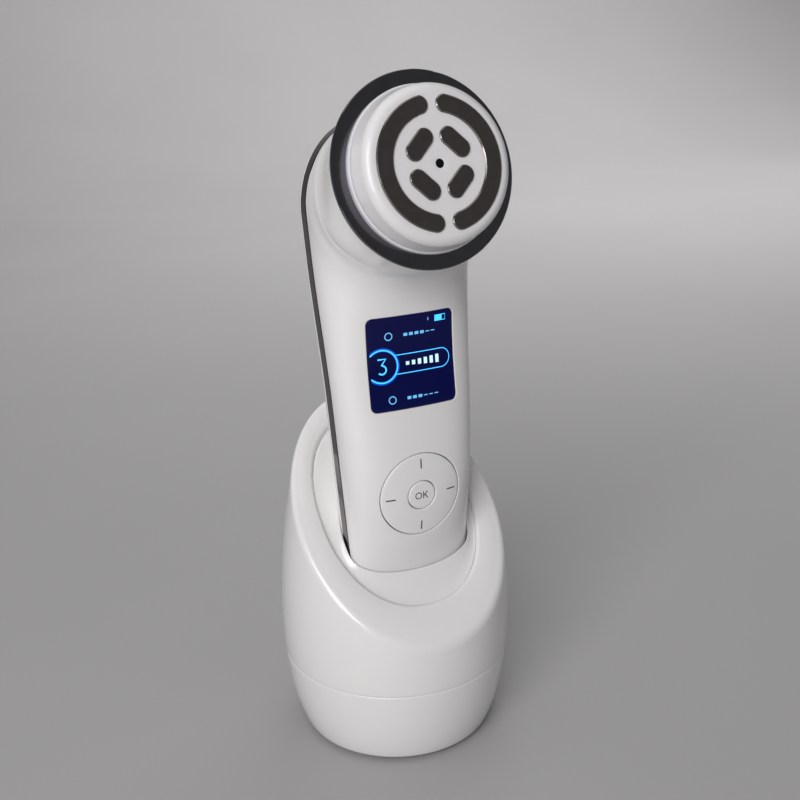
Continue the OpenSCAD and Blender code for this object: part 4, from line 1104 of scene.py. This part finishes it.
# Dial at the left, with its number
DIAL_X, DIAL_Y = -9.5, -0.4
HALO_R, HALO_END, HALO_W = 4.8, 130, 1.0
DIAL_R, DIAL_END, DIAL_W = 4.7, 136, 0.36
NUMBER_TOP = [(-1.2, 2.1), (1.2, 2.1), (-0.2, 0.3)]
NUMBER_BOWL, NUMBER_W = (-0.1, -0.95, 1.25, 85, -140, 24), 0.45

# Rounded frame beside it, and the rising bars inside
FRAME_X, FRAME_R, FRAME_RUN, FRAME_W = 9.2, 2.75, [-5.5, 0, 5], 0.24
BAR_COUNT = 6
BARS_X, BARS_STEP, BARS_W, BARS_H, BARS_RISE = -2.2, 1.9, 1.05, 1.0, 0.28

# Two dimmer rows of (height, lit bars), each with a small ring
DIM_ROWS = ((8.0, 4), (-10.4, 3))
DIM_RING_X, DIM_RING_R, DIM_RING_W = -7.2, 1.05, 0.3
DIM_X, DIM_STEP, DIM_W, DIM_LIT_H, DIM_UNLIT_H = -2.6, 1.75, 1.2, 0.85, 0.28

# Charge sign at the top right, and a mark beside it
CHARGE_CASE, CHARGE_W = [(7.4, 10.6), (10.9, 10.6), (10.9, 12.2), (7.4, 12.2)], 0.22
CHARGE_FILL = (7.5, 11.4, 2.3, 1.4)
SMALL_MARK, SMALL_MARK_W = [(5.2, 11.1), (5.2, 12.0)], 0.25


def screen_picture():
    """A plain display: a lit dial and a bar scale, two dimmer rows and a charge sign."""
    bright, cyan, dim, halo = Surface(), Surface(), Surface(), Surface()
    face = SCREEN_FACE
    ribbon(halo, face, arc(DIAL_X, DIAL_Y, HALO_R, -HALO_END, HALO_END, 64), HALO_W, HALO_DEPTH)
    ribbon(cyan, face, arc(DIAL_X, DIAL_Y, DIAL_R, -DIAL_END, DIAL_END, 64), DIAL_W, LINE_DEPTH)
    frame_line = [(x, DIAL_Y - FRAME_R) for x in FRAME_RUN]
    frame_line += arc(FRAME_X, DIAL_Y, FRAME_R, -90, 90, 20)
    frame_line += [(x, DIAL_Y + FRAME_R) for x in reversed(FRAME_RUN)]
    ribbon(cyan, face, frame_line, FRAME_W, LINE_DEPTH)
    ribbon(cyan, face, [(DIAL_X + a, DIAL_Y + b) for a, b in NUMBER_TOP], NUMBER_W, SIGN_DEPTH)
    a, b, *bowl = NUMBER_BOWL
    ribbon(cyan, face, arc(DIAL_X + a, DIAL_Y + b, *bowl), NUMBER_W, SIGN_DEPTH)
    for k in range(BAR_COUNT):
        bar(bright, face, BARS_X + BARS_STEP * k, DIAL_Y, BARS_W, BARS_H + BARS_RISE * k,
            SIGN_DEPTH)
    for y, lit in DIM_ROWS:
        ribbon(dim, face, whole_ring(DIM_RING_X, y, DIM_RING_R, 28), DIM_RING_W, SIGN_DEPTH,
               closed=True)
        for k in range(BAR_COUNT):
            height = DIM_LIT_H if k < lit else DIM_UNLIT_H
            bar(dim, face, DIM_X + DIM_STEP * k, y, DIM_W, height, SIGN_DEPTH)
    ribbon(cyan, face, CHARGE_CASE, CHARGE_W, SIGN_DEPTH, closed=True)
    bar(cyan, face, *CHARGE_FILL, FILL_DEPTH)
    ribbon(dim, face, SMALL_MARK, SMALL_MARK_W, SIGN_DEPTH)
    for name, surface, finish in (
            ("screen_halo", halo, light("halo_light", (0.0, 0.12, 0.9), 0.55)),
            ("screen_cyan", cyan, light("cyan_light", (0.05, 0.45, 1.0), 1.6)),
            ("screen_bright", bright, light("white_light", (0.55, 0.82, 1.0), 1.0)),
            ("screen_dim", dim, light("dim_light", (0.16, 0.55, 1.0), 0.75))):
        make(name, surface, finish, "handset")


# --- Floor, light and camera ---
FLOOR_ACROSS = (-3000, -1000, 1000, 3000)
FLOOR_BACK = (-1400, -400, 0, 400, 900)
BEND_R, BEND_STEP, WALL_TOP = 900, 6, 2600

ROOM_COLOUR, ROOM_STRENGTH = (0.5, 0.5, 0.51, 1), 0.26


def backdrop():
    """A pale grey sheet that lies under the dock and curves up far behind it."""
    surface = Surface()
    bend_y = FLOOR_BACK[-1]
    profile = [(y, 0) for y in FLOOR_BACK]
    for k in range(BEND_STEP, 91, BEND_STEP):
        a = math.radians(k)
        profile.append((bend_y + BEND_R * math.sin(a), BEND_R - BEND_R * math.cos(a)))
    profile += [(bend_y + BEND_R, WALL_TOP)]
    surface.rows([[Vector((x, y, z)) for x in FLOOR_ACROSS] for y, z in profile])
    grey = material("floor_grey", (0.43, 0.421, 0.421), 0.6, vary=0.02, scale=6)
    points = [p * MM for p in surface.points]
    link(smooth_mesh("floor", points, surface.faces, grey), "floor")


def lamp(name, place, aim, width, height, power):
    """A soft rectangular lamp, in metres and watts."""
    data = bpy.data.lights.new(name, "AREA")
    data.shape, data.size, data.size_y, data.energy = "RECTANGLE", width, height, power
    made = link(data, name)
    made.location = place
    made.rotation_euler = (Vector(aim) - Vector(place)).to_track_quat("-Z", "Y").to_euler()


def studio():
    lamp("key_lamp", (-0.7, -0.7, 0.55), (0, 0, 0.14), 0.6, 0.8, 9.3)
    lamp("sky_lamp", (0.0, 0.1, 1.3), (0, 0, 0), 1.2, 1.2, 3.5)
    lamp("wall_lamp", (0.8, 0.6, 0.9), (0.9, 1.4, 0), 1.2, 0.6, 13.0)
    world = bpy.data.worlds.new("room")
    world.use_nodes = True
    background = world.node_tree.nodes["Background"]
    background.inputs["Color"].default_value = ROOM_COLOUR
    background.inputs["Strength"].default_value = ROOM_STRENGTH
    bpy.context.scene.world = world


# Camera fitted to the photograph: angles, distance, the point it looks at, and lens
CAMERA_TURN, CAMERA_RISE = math.radians(-25.545), math.radians(19.409)
CAMERA_ROLL = math.radians(-1.402)
CAMERA_AWAY, AIM_RIGHT, AIM_UP = 348.083, 3.233, 107.248
LENS, FILM = 52.0, 36.0
CLIP_NEAR_M, CLIP_FAR_M = 0.01, 20


def camera():
    ct, st = math.cos(CAMERA_TURN), math.sin(CAMERA_TURN)
    cr, sr = math.cos(CAMERA_RISE), math.sin(CAMERA_RISE)
    right = Vector((ct, st, 0))
    back = Vector((st * cr, -ct * cr, sr))
    up = back.cross(right)
    level_right = right * math.cos(CAMERA_ROLL) + up * math.sin(CAMERA_ROLL)
    level_up = up * math.cos(CAMERA_ROLL) - right * math.sin(CAMERA_ROLL)
    data = bpy.data.cameras.new("camera")
    data.lens, data.sensor_width = LENS, FILM
    data.clip_start, data.clip_end = CLIP_NEAR_M, CLIP_FAR_M
    made = link(data, "camera")
    place = (right * AIM_RIGHT + Vector((0, 0, AIM_UP)) + back * CAMERA_AWAY) * MM
    turn = Matrix((level_right, level_up, back)).transposed().to_4x4()
    made.matrix_world = Matrix.Translation(place) @ turn
    bpy.context.scene.camera = made


finish_cad_nodes()
front_skin()
rear_skin()
trim_band()
cap()
key_pieces()
key_marks()
screen_picture()
dock_upper()
dock_lower()
cradle()
backdrop()
studio()
camera()
bpy.context.scene.view_settings.view_transform = "Standard"
